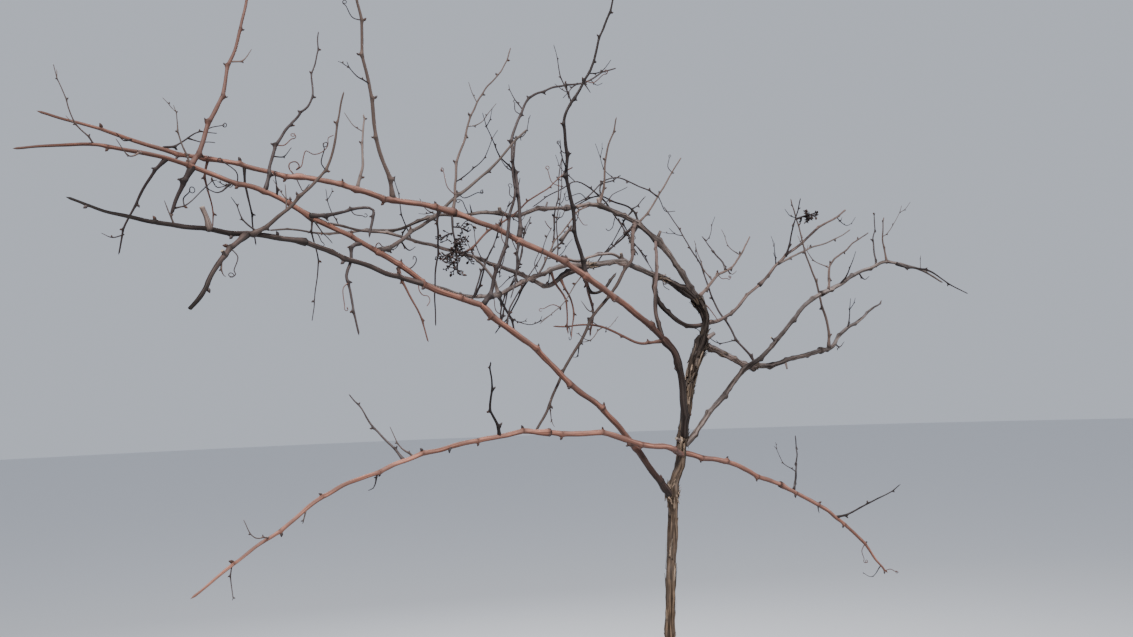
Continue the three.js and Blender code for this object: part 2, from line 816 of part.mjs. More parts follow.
// A dried cluster: a stalk, and branches that turn round it, each with a short fork
function clusterTwigs(cluster) {
  const rule = CLUSTER_RULE;
  const random = seeded(cluster.seed);
  const from = vector(cluster.from);
  const middle = vector(cluster.middle);
  const down = middle.clone().sub(from).normalize();
  const end = middle.clone().addScaledVector(down, cluster.size * rule.tail);
  const stalk = [from, middle, end].map((p) => p.toArray());
  const twigs = [{ points: stalk, radii: rule.stalkRadii }];
  for (let k = 0; k < rule.branches; k += 1) {
    const share = k / (rule.branches - 1);
    const place = cluster.size * (rule.top + share * rule.height);
    const start = middle.clone().addScaledVector(down, place);
    const heading = new THREE.Vector3(1, 0, 0).applyAxisAngle(UP, k * rule.turn);
    heading.z = (random() - 1 + rule.rising) * rule.steepness;
    heading.normalize();
    const width = rule.least + (1 - rule.least) * random();
    const reach = cluster.size * rule.reach * width * (1 - rule.narrowing * share);
    const elbow = start.clone().addScaledVector(heading, reach * rule.elbow);
    const tip = start.clone().addScaledVector(heading, reach);
    tip.z -= reach * rule.droop;
    const branch = [start, elbow, tip].map((p) => p.toArray());
    twigs.push({ points: branch, radii: rule.branchRadii });
    const fork = elbow.clone().addScaledVector(heading, reach * rule.fork);
    fork.x += (random() - 0.5) * reach * rule.forkSpread;
    fork.z += (random() - 0.5) * reach * rule.forkSpread;
    twigs.push({ points: [elbow, fork].map((p) => p.toArray()), radii: rule.forkRadii });
  }
  return twigs;
}

// The space of a mass: its stem and shoots, and the room round them
function spaceOf(carriers) {
  const box = new THREE.Box3();
  carriers.forEach((carrier) => carrier.points.forEach((p) => box.expandByPoint(vector(p))));
  return box.expandByScalar(TWIG_RULE.room);
}

const limbs = new Map([TRUNK, ...BOUGHS].map((limb) => [limb.name, limb]));

function boughGeometry(limb, margin) {
  if (limb === TRUNK) {
    return limbGeometry(limb, TRUNK_SIDES, TRUNK_STEP, margin, rootFlare);
  }
  return limbGeometry(limb, BOUGH_SIDES, BOUGH_STEP, margin);
}

// What a limb stands on is cut out of it, with the gap all round.
function seated(solid, carriers) {
  const cut = carriers.reduce(
    (rest, name) => rest.subtract(solidOf(boughGeometry(limbs.get(name), GAP))),
    solid,
  );
  return largest(cut);
}

function addBoughs(vine) {
  limbs.forEach((limb) => {
    const solid = seated(solidOf(boughGeometry(limb, 0)), limb.on ?? []);
    vine.add(meshOf(solid, limb.name, limb.look));
  });
}

// A mass's stem, shoots and clusters, with the pieces that other twigs have to clear
function framed(mass) {
  const shoots = mass.shoots.map((shoot) => ({ points: shoot.points, radii: shoot.thick }));
  const carriers = [{ points: mass.points, radii: mass.radii }, ...shoots];
  const clusters = (mass.clusters ?? []).flatMap(clusterTwigs);
  const pieces = [...carriers, ...clusters].flatMap((limb) => piecesOf(limb, SHOOT_STEP));
  return { ...mass, carriers, clusters, pieces };
}

// A twig that would leave its mass's space or touch anything else is skipped.
function grownTwigs(mass, others) {
  const random = seeded(mass.seed);
  const space = spaceOf(mass.carriers);
  const twigs = mass.carriers.flatMap((carrier) => twigsAlong(carrier, random));
  return twigs.filter((twig) => {
    const pieces = piecesOf(twig, TWIG_STEP);
    const inside = twig.points.every((p) => space.containsPoint(vector(p)));
    const kept = inside && isClear(pieces, others);
    if (kept) mass.pieces.push(...pieces);
    return kept;
  });
}

function addMasses(vine) {
  const boughPieces = [...limbs.values()].flatMap((limb) => piecesOf(limb, BOUGH_STEP));
  const masses = MASSES.map(framed);
  masses.forEach((mass) => {
    const neighbours = masses.filter((other) => other !== mass).flatMap((other) => other.pieces);
    const grown = grownTwigs(mass, [...boughPieces, ...neighbours]);
    const [stem, ...shoots] = mass.carriers;
    const geometries = [
      limbGeometry(stem, STEM_SIDES, STEM_STEP),
      ...shoots.map((shoot) => limbGeometry(shoot, TWIG_SIDES, SHOOT_STEP)),
      ...[...grown, ...mass.clusters].map((twig) => limbGeometry(twig, TWIG_SIDES, TWIG_STEP)),
    ];
    const joined = geometries.map(solidOf).reduce((sum, solid) => sum.add(solid));
    vine.add(meshOf(seated(joined, mass.on), mass.name, TWIG));
  });
}

const vine = new THREE.Group();
addBoughs(vine);
addMasses(vine);

export default vine;
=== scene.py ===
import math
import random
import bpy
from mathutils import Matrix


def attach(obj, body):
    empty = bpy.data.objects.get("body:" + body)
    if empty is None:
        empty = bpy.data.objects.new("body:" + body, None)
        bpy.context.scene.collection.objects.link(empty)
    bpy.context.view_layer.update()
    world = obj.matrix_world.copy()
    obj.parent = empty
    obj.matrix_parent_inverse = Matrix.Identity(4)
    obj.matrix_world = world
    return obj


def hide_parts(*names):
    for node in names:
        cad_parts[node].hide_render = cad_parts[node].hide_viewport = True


bl_info = {
    "name": "Winter grapevine",
    "version": (1, 0, 0),
    "blender": (4, 5, 0),
    "location": "View3D > Sidebar > Grapevine",
    "description": "A bare, unpruned grapevine: trunk, old arms, long canes, shoots and twigs",
    "category": "Add Mesh",
}

from collections import namedtuple
from functools import lru_cache

import bmesh
import bpy
import numpy as np
from bpy.props import FloatProperty, FloatVectorProperty, PointerProperty
from mathutils import Matrix, Vector, noise

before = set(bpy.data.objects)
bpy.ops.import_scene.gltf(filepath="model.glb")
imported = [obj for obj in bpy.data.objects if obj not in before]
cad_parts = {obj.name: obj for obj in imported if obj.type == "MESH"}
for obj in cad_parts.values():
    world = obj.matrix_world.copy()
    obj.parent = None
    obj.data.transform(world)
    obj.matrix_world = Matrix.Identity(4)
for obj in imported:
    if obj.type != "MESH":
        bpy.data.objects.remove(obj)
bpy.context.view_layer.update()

# Lengths in the tables and rules are millimetres, as in the part's source. Meshes are in metres.
MM = 0.001
TURN = 2 * math.pi
ACROSS = np.array((0.0, 1.0, 0.0))  # the row's level crosswise direction

# A limb belongs to one of the solids' nodes. A shoot belongs to the limb or mass that lists it.
Limb = namedtuple("Limb", "node look radii points")
Shoot = namedtuple("Shoot", "look radii points")
Mass = namedtuple("Mass", "name seed limbs clusters", defaults=((),))
Cluster = namedtuple("Cluster", "foot middle size seed")

# Each limb passes through its points, and has its radius at even steps of its length.
LIMBS = (
    Limb("trunk", "trunk",
        (11, 10.6, 10.3, 10, 9.8, 9.6, 9.4, 9.4, 9.6, 9.8, 9.8, 9.8, 10, 10, 9.8, 10.8, 13), ((0, 0, 0),
        (18, 0, 250), (42, 0, 600), (70, 0, 950), (90, 0, 1180), (94, 0, 1225), (114, 0, 1268),
        (124, 0, 1320), (152, 0, 1440), (182, 0, 1505))),
    Limb("head_arm", "trunk", (9.2, 8, 12), ((184, 0, 1508), (199, 9, 1556), (189, 20, 1592))),
    Limb("arch_arm_1", "old", (8, 6.4, 5.8, 5.8, 7.6, 5.4, 5.8), ((189, 24, 1590), (170, 40, 1645),
        (148, 50, 1684), (122, 58, 1713), (81, 62, 1746))),
    Limb("arch_arm_2", "old", (5.4, 5, 4.8, 5.6), ((81, 62, 1746), (42, 63, 1759), (-6, 65, 1777))),
    Limb("arch_arm_3", "old", (4.8, 3.8, 3.6, 4.6, 3.4, 3.8), ((-6, 65, 1777), (-82, 64, 1768),
        (-130, 63, 1761), (-184, 62, 1746), (-226, 61, 1746))),
    Limb("middle_arm", "old", (8, 7.4, 6.2, 5.6, 5.5, 5.4, 6.6), ((182, 18, 1592), (124, 25, 1627),
        (59, 25, 1648), (5, 25, 1661), (-74, 26, 1650))),
    Limb("middle_fork_low", "old", (5.2, 4.6, 4.2, 4.2), ((-74, 26, 1650), (-119, 22, 1647),
        (-180, 18, 1625), (-252, 24, 1591))),
    Limb("middle_fork_high", "old", (5.4, 5, 4.4), ((-72, 28, 1647), (-112, 38, 1628), (-142, 42, 1613),
        (-172, 42, 1621))),
    Limb("upper_cane_1", "cane", (7.6, 7.2, 7, 7.4), ((121, -8, 1324), (115, -17, 1377),
        (113, -19, 1430), (98, -21, 1484), (72, -22, 1507))),
    Limb("upper_cane_2", "cane", (5.8, 6.3, 6.3, 6.6), ((72, -22, 1507), (-28, -26, 1580),
        (-104, -30, 1622))),
    Limb("upper_cane_3", "cane", (6, 5.3, 5.6), ((-104, -30, 1622), (-156, -32, 1646),
        (-242, -35, 1678))),
    Limb("upper_cane_4", "cane", (5.4, 4.8, 5.4), ((-242, -35, 1678), (-300, -37, 1699),
        (-364, -38, 1719))),
    Limb("lower_cane_1", "cane", (7.8, 6.4, 5.8, 5.4, 5.4, 5.4, 5.8), ((86, -4, 1212), (38, -21, 1252),
        (-7, -27, 1310), (-101, -37, 1392), (-205, -47, 1470), (-330, -60, 1562))),
    Limb("lower_cane_2", "cane", (5.3, 4.9, 5.4), ((-330, -60, 1562), (-386, -63, 1574),
        (-438, -66, 1597))),
    Limb("lower_cane_3", "cane", (5, 4.6, 5), ((-438, -66, 1597), (-476, -68, 1621), (-513, -70, 1641))),
    Limb("lower_cane_4", "cane", (4.5, 4.1, 4.5), ((-513, -70, 1641), (-565, -72, 1666),
        (-618, -75, 1687))),
    Limb("branch_cane", "cane", (4.8, 4.2, 4.1, 4.4), ((-440, -68, 1594), (-499, -76, 1606),
        (-551, -80, 1626), (-633, -88, 1648))),
    Limb("right_arm_1", "old", (8, 6.6, 6.2, 7.2), ((186, 2, 1502), (239, 10, 1483), (298, 12, 1459),
        (334, 13, 1456))),
    Limb("right_arm_2", "old", (6.2, 5.4, 5.2, 5.6), ((334, 13, 1456), (412, 16, 1463), (482, 19, 1480),
        (523, 20, 1487))),
    Limb("right_cane", "old", (6, 5.6, 5.2, 4.8, 5), ((126, -6, 1306), (181, -16, 1365),
        (246, -20, 1428), (312, -22, 1472), (364, -25, 1511), (421, -28, 1567), (484, -30, 1604))),
    Limb("cross_cane", "old", (4.8, 5.2, 4.8, 3.7, 3.5), ((91, 24, 1640), (95, 25, 1585),
        (146, 27, 1549), (210, 30, 1540), (273, 26, 1563), (352, 14, 1624))),
    Limb("link_cane", "old", (5.4, 4.2, 3.8, 3.5, 3.4), ((70, -22, 1504), (62, -12, 1560),
        (74, -3, 1628), (90, 14, 1671), (116, 50, 1704), (122, 58, 1713))),
    Limb("low_left_cane", "cane", (6.2, 5.5, 5.3, 5.1), ((116, -4, 1288), (60, -37, 1303),
        (-18, -50, 1319), (-100, -52, 1337), (-203, -50, 1346))),
    Limb("low_right_cane", "cane", (6.2, 5.5, 5.1, 4.9), ((122, 2, 1292), (233, 15, 1266),
        (309, 19, 1241), (390, 24, 1210))),
)

# Each mass of twigs has its main limbs, and a seed for the fine twigs that grow on them.
MASSES = (
    Mass("arch_end_twigs", 11, (
        Shoot("old", (3.7, 2.8, 1.6), ((-226, 61, 1746), (-350, 61, 1731), (-421, 64, 1706),
            (-527, 68, 1695), (-640, 72, 1692))),
    )),
    Mass("arch_upright_twigs", 12, (
        Shoot("tan", (2.9, 1.8), ((-6, 65, 1779), (-2, 56, 1806), (-4, 32, 1880), (5, 10, 1935))),
        Shoot("dark", (2.5, 1.5), ((-4, 66, 1786), (28, 106, 1824), (99, 140, 1860))),
    )),
    Mass("arch_hanging_twigs", 13, (
        Shoot("tan", (4, 3.6, 3), ((74, 60, 1746), (45, 30, 1700), (16, 3, 1652), (-45, -3, 1585),
            (-120, -15, 1493), (-175, -12, 1404), (-205, -10, 1350))),
        Shoot("dark", (2.6, 1.6), ((68, 55, 1740), (50, 66, 1716), (20, 96, 1690), (8, 112, 1658))),
        Shoot("dark", (2.4, 1.6), ((62, 48, 1728), (60, 52, 1706), (70, 50, 1682))),
    )),
    Mass("arch_lateral_twigs", 31, (
        Shoot("tan", (2.4, 2.2, 1.7), ((83, 60, 1746), (103, 52, 1773), (123, 45, 1799),
            (145, 31, 1843), (166, 20, 1877))),
        Shoot("dark", (1.6, 1.8), ((123, 45, 1799), (87, 54, 1818), (41, 64, 1838), (3, 72, 1819),
            (-47, 84, 1780))),
    )),
    Mass("arch_loop_twigs", 32, (
        Shoot("dark", (2.4, 2, 1.6), ((88, 63, 1742), (75, 71, 1775), (44, 76, 1787), (10, 85, 1799),
            (-40, 96, 1778))),
        Shoot("dark", (1.6, 1.3), ((75, 71, 1775), (99, 81, 1790), (124, 90, 1808))),
        Shoot("dark", (1.7, 1.4), ((10, 85, 1799), (-34, 102, 1830), (-65, 112, 1812),
            (-115, 130, 1779))),
        Shoot("dark", (1.8, 1.4), ((10, 85, 1799), (34, 92, 1787), (60, 101, 1760), (108, 116, 1720),
            (154, 130, 1678))),
    )),
    Mass("middle_low_twigs", 14, (
        Shoot("old", (4, 3.2, 2), ((-252, 24, 1591), (-283, 30, 1587), (-341, 35, 1596),
            (-410, 42, 1622))),
        Shoot("old", (3.2, 2.4), ((-254, 26, 1590), (-266, 16, 1610), (-290, 6, 1638), (-318, -2, 1652))),
        Shoot("dark", (3, 2.2), ((-254, 26, 1590), (-234, 44, 1574), (-206, 60, 1530))),
        Shoot("dark", (2, 1.3), ((-298, 31, 1588), (-288, 12, 1630), (-262, -12, 1716))),
    )),
    Mass("middle_high_twigs", 15, (
        Shoot("old", (4.2, 3.2, 2.1), ((-172, 42, 1621), (-232, 38, 1639), (-318, 34, 1661),
            (-410, 32, 1681), (-504, 30, 1693), (-585, 30, 1704))),
        Shoot("red", (2.5, 1.5), ((-320, 34, 1661), (-225, 30, 1734), (-75, 50, 1840))),
        Shoot("dark", (2.4, 1.3), ((-176, 42, 1622), (-134, 52, 1664), (-92, 84, 1776),
            (-62, 104, 1878))),
        Shoot("dark", (2.1, 1.3), ((-212, 40, 1632), (-192, 44, 1676), (-182, 50, 1722))),
        Shoot("dark", (2.2, 1.4), ((-182, 42, 1624), (-208, 66, 1566), (-228, 90, 1529))),
    )),
    Mass("tall_shoot_twigs", 16, (
        Shoot("dark", (4.2, 3.8, 3.2, 2.7, 2.1, 1.7), ((-103, -27, 1626), (-124, -31, 1712),
            (-146, -45, 1823), (-149, -58, 1914), (-113, -67, 1973), (-85, -79, 2049), (-58, -92, 2140),
            (-20, -104, 2290))),
    )),
    Mass("under_cane_twigs", 33, (
        Shoot("red", (3.3, 2.8, 2.1), ((-103, -27, 1622), (-72, 10, 1594), (-46, 41, 1555),
            (-38, 62, 1524))),
        Shoot("old", (3.4, 2.8), ((-96, -15, 1618), (-70, 2, 1596), (-38, 9, 1605), (-14, 12, 1632))),
    )),
    Mass("upright_shoot_twigs", 17, (
        Shoot("dark", (3.9, 3.3, 2.8, 2.4, 1.8), ((-242, -35, 1682), (-237, -30, 1760),
            (-243, -21, 1816), (-219, -7, 1908), (-178, 2, 1960), (-80, 14, 1994), (20, 30, 2043))),
    )),
    Mass("front_lateral_twigs", 34, (
        Shoot("dark", (2.6, 2, 1.4), ((-243, -37, 1676), (-257, -54, 1637), (-291, -90, 1573))),
    )),
    Mass("upper_cane_end_twigs", 18, (
        Shoot("cane", (5.3, 4.9, 4.6, 4.2, 3.8, 3, 1.8), ((-364, -38, 1719), (-473, -41, 1734),
            (-579, -44, 1750), (-711, -47, 1763), (-825, -50, 1780), (-980, -54, 1812))),
        Shoot("tan", (2.7, 1.6), ((-368, -38, 1721), (-341, -6, 1813), (-268, 46, 1955),
            (-212, 70, 2013), (-176, 92, 2072))),
        Shoot("tan", (3.9, 1.9), ((-475, -41, 1734), (-516, -82, 1823), (-546, -122, 1924),
            (-572, -160, 2005), (-604, -196, 2150))),
        Shoot("tan", (2.9, 1.8), ((-536, -43, 1744), (-514, -14, 1806), (-501, 20, 1884))),
        Shoot("dark", (2.1, 1.4), ((-394, -39, 1722), (-391, -22, 1660), (-389, -5, 1600),
            (-382, 10, 1536))),
        Shoot("dark", (2.2, 1.4), ((-711, -47, 1763), (-704, -40, 1722), (-692, -30, 1652))),
    ), (Cluster((-370, -38, 1718), (-372, -52, 1658), 88, 41),)),
    Mass("red_lateral_twigs", 19, (
        Shoot("red", (3.2, 2.6, 1.8), ((68, -20, 1505), (32, -10, 1500), (-20, 8, 1524),
            (-60, 20, 1536), (-130, 40, 1537))),
    )),
    Mass("dark_shoot_twigs", 20, (
        Shoot("dark", (3.9, 3.5, 3, 2.2), ((-328, -61, 1563), (-306, -62, 1607), (-276, -60, 1690),
            (-258, -50, 1750), (-252, -40, 1801), (-240, -30, 1856))),
    )),
    Mass("slanting_shoot_twigs", 21, (
        Shoot("tan", (4.2, 3.6, 3.2, 2.4), ((-512, -70, 1643), (-452, -36, 1672), (-398, -10, 1712),
            (-318, -34, 1779), (-246, -75, 1862))),
    )),
    Mass("lower_cane_end_twigs", 22, (
        Shoot("cane", (4.4, 4.1, 3.8, 3.3, 2.6, 1.7), ((-618, -75, 1687), (-689, -77, 1722),
            (-746, -78, 1737), (-826, -80, 1757), (-920, -84, 1768), (-1010, -90, 1752))),
        Shoot("dark", (3, 1.4), ((-689, -77, 1722), (-680, -72, 1760), (-648, -46, 1828),
            (-598, -6, 1884), (-584, 20, 1936), (-560, 60, 2030))),
        Shoot("red", (3.9, 2), ((-795, -79, 1748), (-775, -75, 1790), (-741, -58, 1879),
            (-709, -38, 1993), (-665, -14, 2160))),
        Shoot("dark", (3.4, 2.6), ((-622, -78, 1690), (-572, -88, 1698), (-528, -94, 1704),
            (-534, -96, 1664))),
        Shoot("dark", (2.7, 1.5), ((-826, -80, 1757), (-862, -50, 1700), (-880, -26, 1630))),
    )),
    Mass("branch_cane_end_twigs", 23, (
        Shoot("cane", (4.3, 4.1, 3.8, 2.8, 1.8), ((-633, -88, 1648), (-711, -96, 1653),
            (-783, -103, 1656), (-860, -112, 1660), (-950, -124, 1684))),
        Shoot("tan", (3.5, 1.6), ((-714, -97, 1653), (-661, -122, 1695), (-614, -150, 1764),
            (-602, -182, 1850))),
        Shoot("cane", (4, 3.2), ((-722, -98, 1652), (-760, -116, 1610), (-806, -136, 1540))),
    )),
    Mass("right_arm_end_twigs", 24, (
        Shoot("old", (5.2, 4.5, 4, 3.2, 1.9), ((523, 20, 1487), (572, 29, 1498), (600, 35, 1520),
            (689, 53, 1560), (790, 76, 1606))),
        Shoot("tan", (3.4, 1.6), ((556, 26, 1493), (538, 10, 1550), (499, -6, 1615), (430, -37, 1721),
            (386, -58, 1792))),
    ), (Cluster((409, -47, 1757), (448, -42, 1768), 46, 42),)),
    Mass("thin_upright_twigs", 25, (
        Shoot("dark", (2.8, 2.2, 1.5), ((332, 14, 1458), (310, 23, 1493), (276, 56, 1572),
            (252, 94, 1688), (208, 138, 1800))),
    )),
    Mass("right_cane_end_twigs", 26, (
        Shoot("old", (4.9, 4.5, 3.9, 3.2, 2.1), ((484, -30, 1604), (560, -32, 1634), (625, -35, 1662),
            (690, -38, 1678), (770, -42, 1668), (850, -48, 1640))),
        Shoot("tan", (3.1, 1.7), ((505, -31, 1612), (538, -10, 1668), (612, 12, 1710), (712, 34, 1756))),
        Shoot("dark", (2.5, 1.5), ((650, -36, 1668), (692, 2, 1736), (744, 40, 1806))),
        Shoot("tan", (2.5, 1.5), ((684, -38, 1677), (668, -44, 1724), (655, -62, 1770))),
        Shoot("dark", (2.8, 1.5), ((712, -40, 1676), (760, -90, 1652), (800, -150, 1600))),
    )),
    Mass("cross_cane_end_twigs", 27, (
        Shoot("old", (3.4, 3.2, 2.8, 2.1), ((352, 14, 1624), (380, 9, 1652), (421, 3, 1686),
            (498, -12, 1743), (572, -30, 1788))),
        Shoot("tan", (2.7, 1.5), ((401, 6, 1670), (449, 2, 1691), (503, -3, 1709), (599, -12, 1749))),
        Shoot("dark", (2.4, 1.4), ((421, 3, 1686), (409, -32, 1733), (386, -84, 1788))),
    )),
    Mass("head_spur_twigs", 28, (
        Shoot("tan", (3.8, 3, 2.2), ((194, 20, 1596), (243, 32, 1632), (291, 46, 1657), (348, 62, 1692),
            (400, 90, 1740))),
        Shoot("dark", (2.5, 1.5), ((291, 46, 1657), (312, 90, 1690), (318, 150, 1744))),
    )),
    Mass("low_left_end_twigs", 29, (
        Shoot("cane", (5, 4.4, 3.8, 3.1, 1.9), ((-203, -50, 1346), (-292, -50, 1346), (-430, -52, 1322),
            (-559, -54, 1286), (-675, -58, 1222), (-790, -66, 1150))),
        Shoot("dark", (2.8, 1.6), ((-300, -50, 1345), (-330, -84, 1400), (-352, -130, 1462))),
        Shoot("dark", (2.6, 1.5), ((-470, -53, 1313), (-490, -10, 1352), (-520, 52, 1420))),
    )),
    Mass("low_right_end_twigs", 30, (
        Shoot("cane", (4.8, 4.3, 3.7, 2.3), ((390, 24, 1210), (475, 30, 1172), (560, 36, 1126),
            (640, 42, 1066), (720, 50, 990))),
        Shoot("dark", (2.8, 1.6), ((430, 27, 1194), (476, 64, 1236), (530, 116, 1300))),
        Shoot("dark", (2.6, 1.5), ((560, 36, 1126), (604, 0, 1146), (664, -52, 1190))),
    )),
)

# Thin shoots that the solids leave out
EXTRAS = (
    Limb("arch_arm_2", "dark", (1.3, 0.9), ((-2, 65, 1775), (8, 61, 1785), (20, 56, 1799),
        (50, 47, 1814))),
    Limb("arch_loop_twigs", "dark", (1.6, 1.0), ((77, 71, 1772), (68, 73, 1760), (44, 80, 1727),
        (21, 87, 1693), (9, 91, 1677))),
    Limb("lower_cane_2", "dark", (1.8, 1.0), ((-353, -61, 1566), (-326, -48, 1606), (-302, -34, 1648),
        (-288, -25, 1672), (-268, -15, 1703), (-247, -4, 1738), (-240, 1, 1754))),
    Limb("middle_high_twigs", "dark", (1.8, 1.0), ((-223, 84, 1538), (-223, 79, 1565), (-209, 72, 1606),
        (-196, 67, 1637), (-192, 61, 1668), (-202, 57, 1693), (-214, 52, 1717), (-218, 50, 1730))),
    Limb("middle_high_twigs", "dark", (1.7, 0.9), ((-223, 84, 1540), (-209, 78, 1595), (-193, 74, 1625),
        (-187, 71, 1656), (-179, 68, 1686), (-171, 64, 1716), (-163, 62, 1742))),
    Limb("lower_cane_1", "dark", (1.7, 0.9), ((-282, -55, 1527), (-276, -51, 1557), (-247, -47, 1594),
        (-225, -43, 1625), (-204, -40, 1651), (-191, -38, 1677), (-176, -35, 1705))),
    Limb("arch_arm_3", "tan", (1.9, 1.6), ((-31, 65, 1774), (-67, 58, 1752), (-103, 48, 1716),
        (-131, 41, 1683), (-150, 35, 1658))),
    Limb("middle_high_twigs", "tan", (2.1, 2.5), ((-128, 55, 1674), (-106, 52, 1699), (-85, 49, 1722))),
    Limb("middle_fork_low", "red", (2.5, 1.6), ((-149, 19, 1638), (-136, 22, 1615), (-121, 24, 1591),
        (-112, 26, 1562), (-109, 29, 1525))),
    Limb("middle_fork_high", "red", (2.5, 1.4), ((-116, 39, 1626), (-107, 35, 1604), (-97, 32, 1576),
        (-98, 29, 1551), (-106, 25, 1517))),
    Limb("upper_cane_3", "tan", (1.3, 0.9), ((-110, -30, 1625), (-133, -24, 1591), (-162, -18, 1562),
        (-190, -12, 1536))),
    Limb("arch_arm_1", "red", (1.8, 1.0), ((187, 26, 1596), (203, 20, 1590), (217, 11, 1571),
        (224, 2, 1549))),
    Limb("lower_cane_2", "dark", (1.2, 0.9), ((-244, -2, 1745), (-231, 1, 1763), (-213, 6, 1800))),
    Limb("upper_cane_end_twigs", "dark", (1.8, 0.9), ((-824, -50, 1780), (-807, -40, 1791),
        (-787, -30, 1803), (-767, -21, 1814), (-743, -10, 1822))),
    Limb("upper_cane_end_twigs", "dark", (1.1, 0.9), ((-788, -30, 1803), (-767, -20, 1805),
        (-746, -10, 1805))),
    Limb("upper_cane_end_twigs", "red", (1.9, 1.2), ((-763, -48, 1770), (-765, -45, 1747),
        (-759, -40, 1716), (-755, -34, 1675))),
    Limb("branch_cane_end_twigs", "old", (3.7, 3.9), ((-773, -102, 1656), (-777, -106, 1670),
        (-784, -110, 1687))),
    Limb("lower_cane_4", "dark", (1.4, 0.9), ((-618, -75, 1687), (-611, -81, 1675), (-601, -87, 1659),
        (-595, -91, 1648))),
    Limb("lower_cane_end_twigs", "dark", (4.0, 3.3), ((-791, -79, 1749), (-799, -76, 1726),
        (-809, -72, 1706), (-817, -69, 1686))),
    Limb("lower_cane_end_twigs", "dark", (1.2, 0.9), ((-816, -69, 1689), (-791, -61, 1703),
        (-770, -53, 1723), (-751, -45, 1739))),
    Limb("lower_cane_4", "dark", (3.0, 2.1), ((-540, -71, 1654), (-553, -72, 1647), (-560, -75, 1623),
        (-570, -78, 1599), (-563, -80, 1574), (-556, -84, 1542), (-554, -87, 1514))),
    Limb("lower_cane_4", "dark", (1.5, 0.9), ((-618, -75, 1687), (-615, -72, 1654), (-610, -70, 1621),
        (-611, -66, 1576), (-617, -63, 1534))),
    Limb("tall_shoot_twigs", "dark", (1.6, 1.2), ((-149, -58, 1914), (-139, -58, 1926))),
    Limb("tall_shoot_twigs", "dark", (1.4, 0.9), ((-116, -66, 1968), (-108, -74, 1949))),
    Limb("upright_shoot_twigs", "dark", (1.4, 0.9), ((-105, 11, 1986), (-95, 19, 1966))),
    Limb("upright_shoot_twigs", "dark", (1.4, 0.9), ((-78, 14, 1995), (-98, 9, 1976), (-117, 4, 1961))),
    Limb("arch_end_twigs", "dark", (1.5, 0.9), ((-284, 61, 1740), (-290, 55, 1755))),
    Limb("middle_fork_low", "dark", (1.3, 0.9), ((-151, 19, 1637), (-147, 24, 1624), (-147, 29, 1610))),
    Limb("middle_high_twigs", "dark", (1.2, 0.9), ((-207, 40, 1632), (-228, 36, 1617), (-253, 32, 1602))),
    Limb("middle_arm", "old", (3.0, 2.9, 3.0), ((-114, 34, 1665), (-82, 33, 1662), (-53, 32, 1668),
        (-24, 31, 1675), (1, 30, 1678), (21, 29, 1671), (34, 28, 1661))),
    Limb("arch_lateral_twigs", "dark", (1.6, 1.1), ((-8, 44, 1679), (29, 48, 1711), (69, 52, 1742))),
    Limb("arch_arm_2", "dark", (1.7, 1.3, 1.1), ((34, 60, 1751), (55, 55, 1718), (83, 49, 1678),
        (100, 44, 1650))),
    Limb("middle_fork_high", "dark", (1.5, 1.2, 1.0), ((-124, 36, 1656), (-120, 40, 1698),
        (-116, 43, 1733), (-105, 46, 1795), (-96, 50, 1854))),
    Limb("upper_cane_3", "red", (2.3, 1.9, 1.5), ((-479, -66, 1618), (-465, -71, 1579),
        (-451, -75, 1543), (-437, -80, 1503))),
    Limb("middle_high_twigs", "dark", (1.3, 0.9), ((-202, 30, 1685), (-195, 25, 1717), (-187, 20, 1734))),
    Limb("middle_high_twigs", "tan", (2.4, 1.8), ((-113, 40, 1698), (-95, 43, 1719), (-84, 46, 1728))),
    Limb("arch_arm_1", "dark", (2.6, 2.2), ((77, 60, 1736), (71, 63, 1720), (65, 66, 1708))),
)

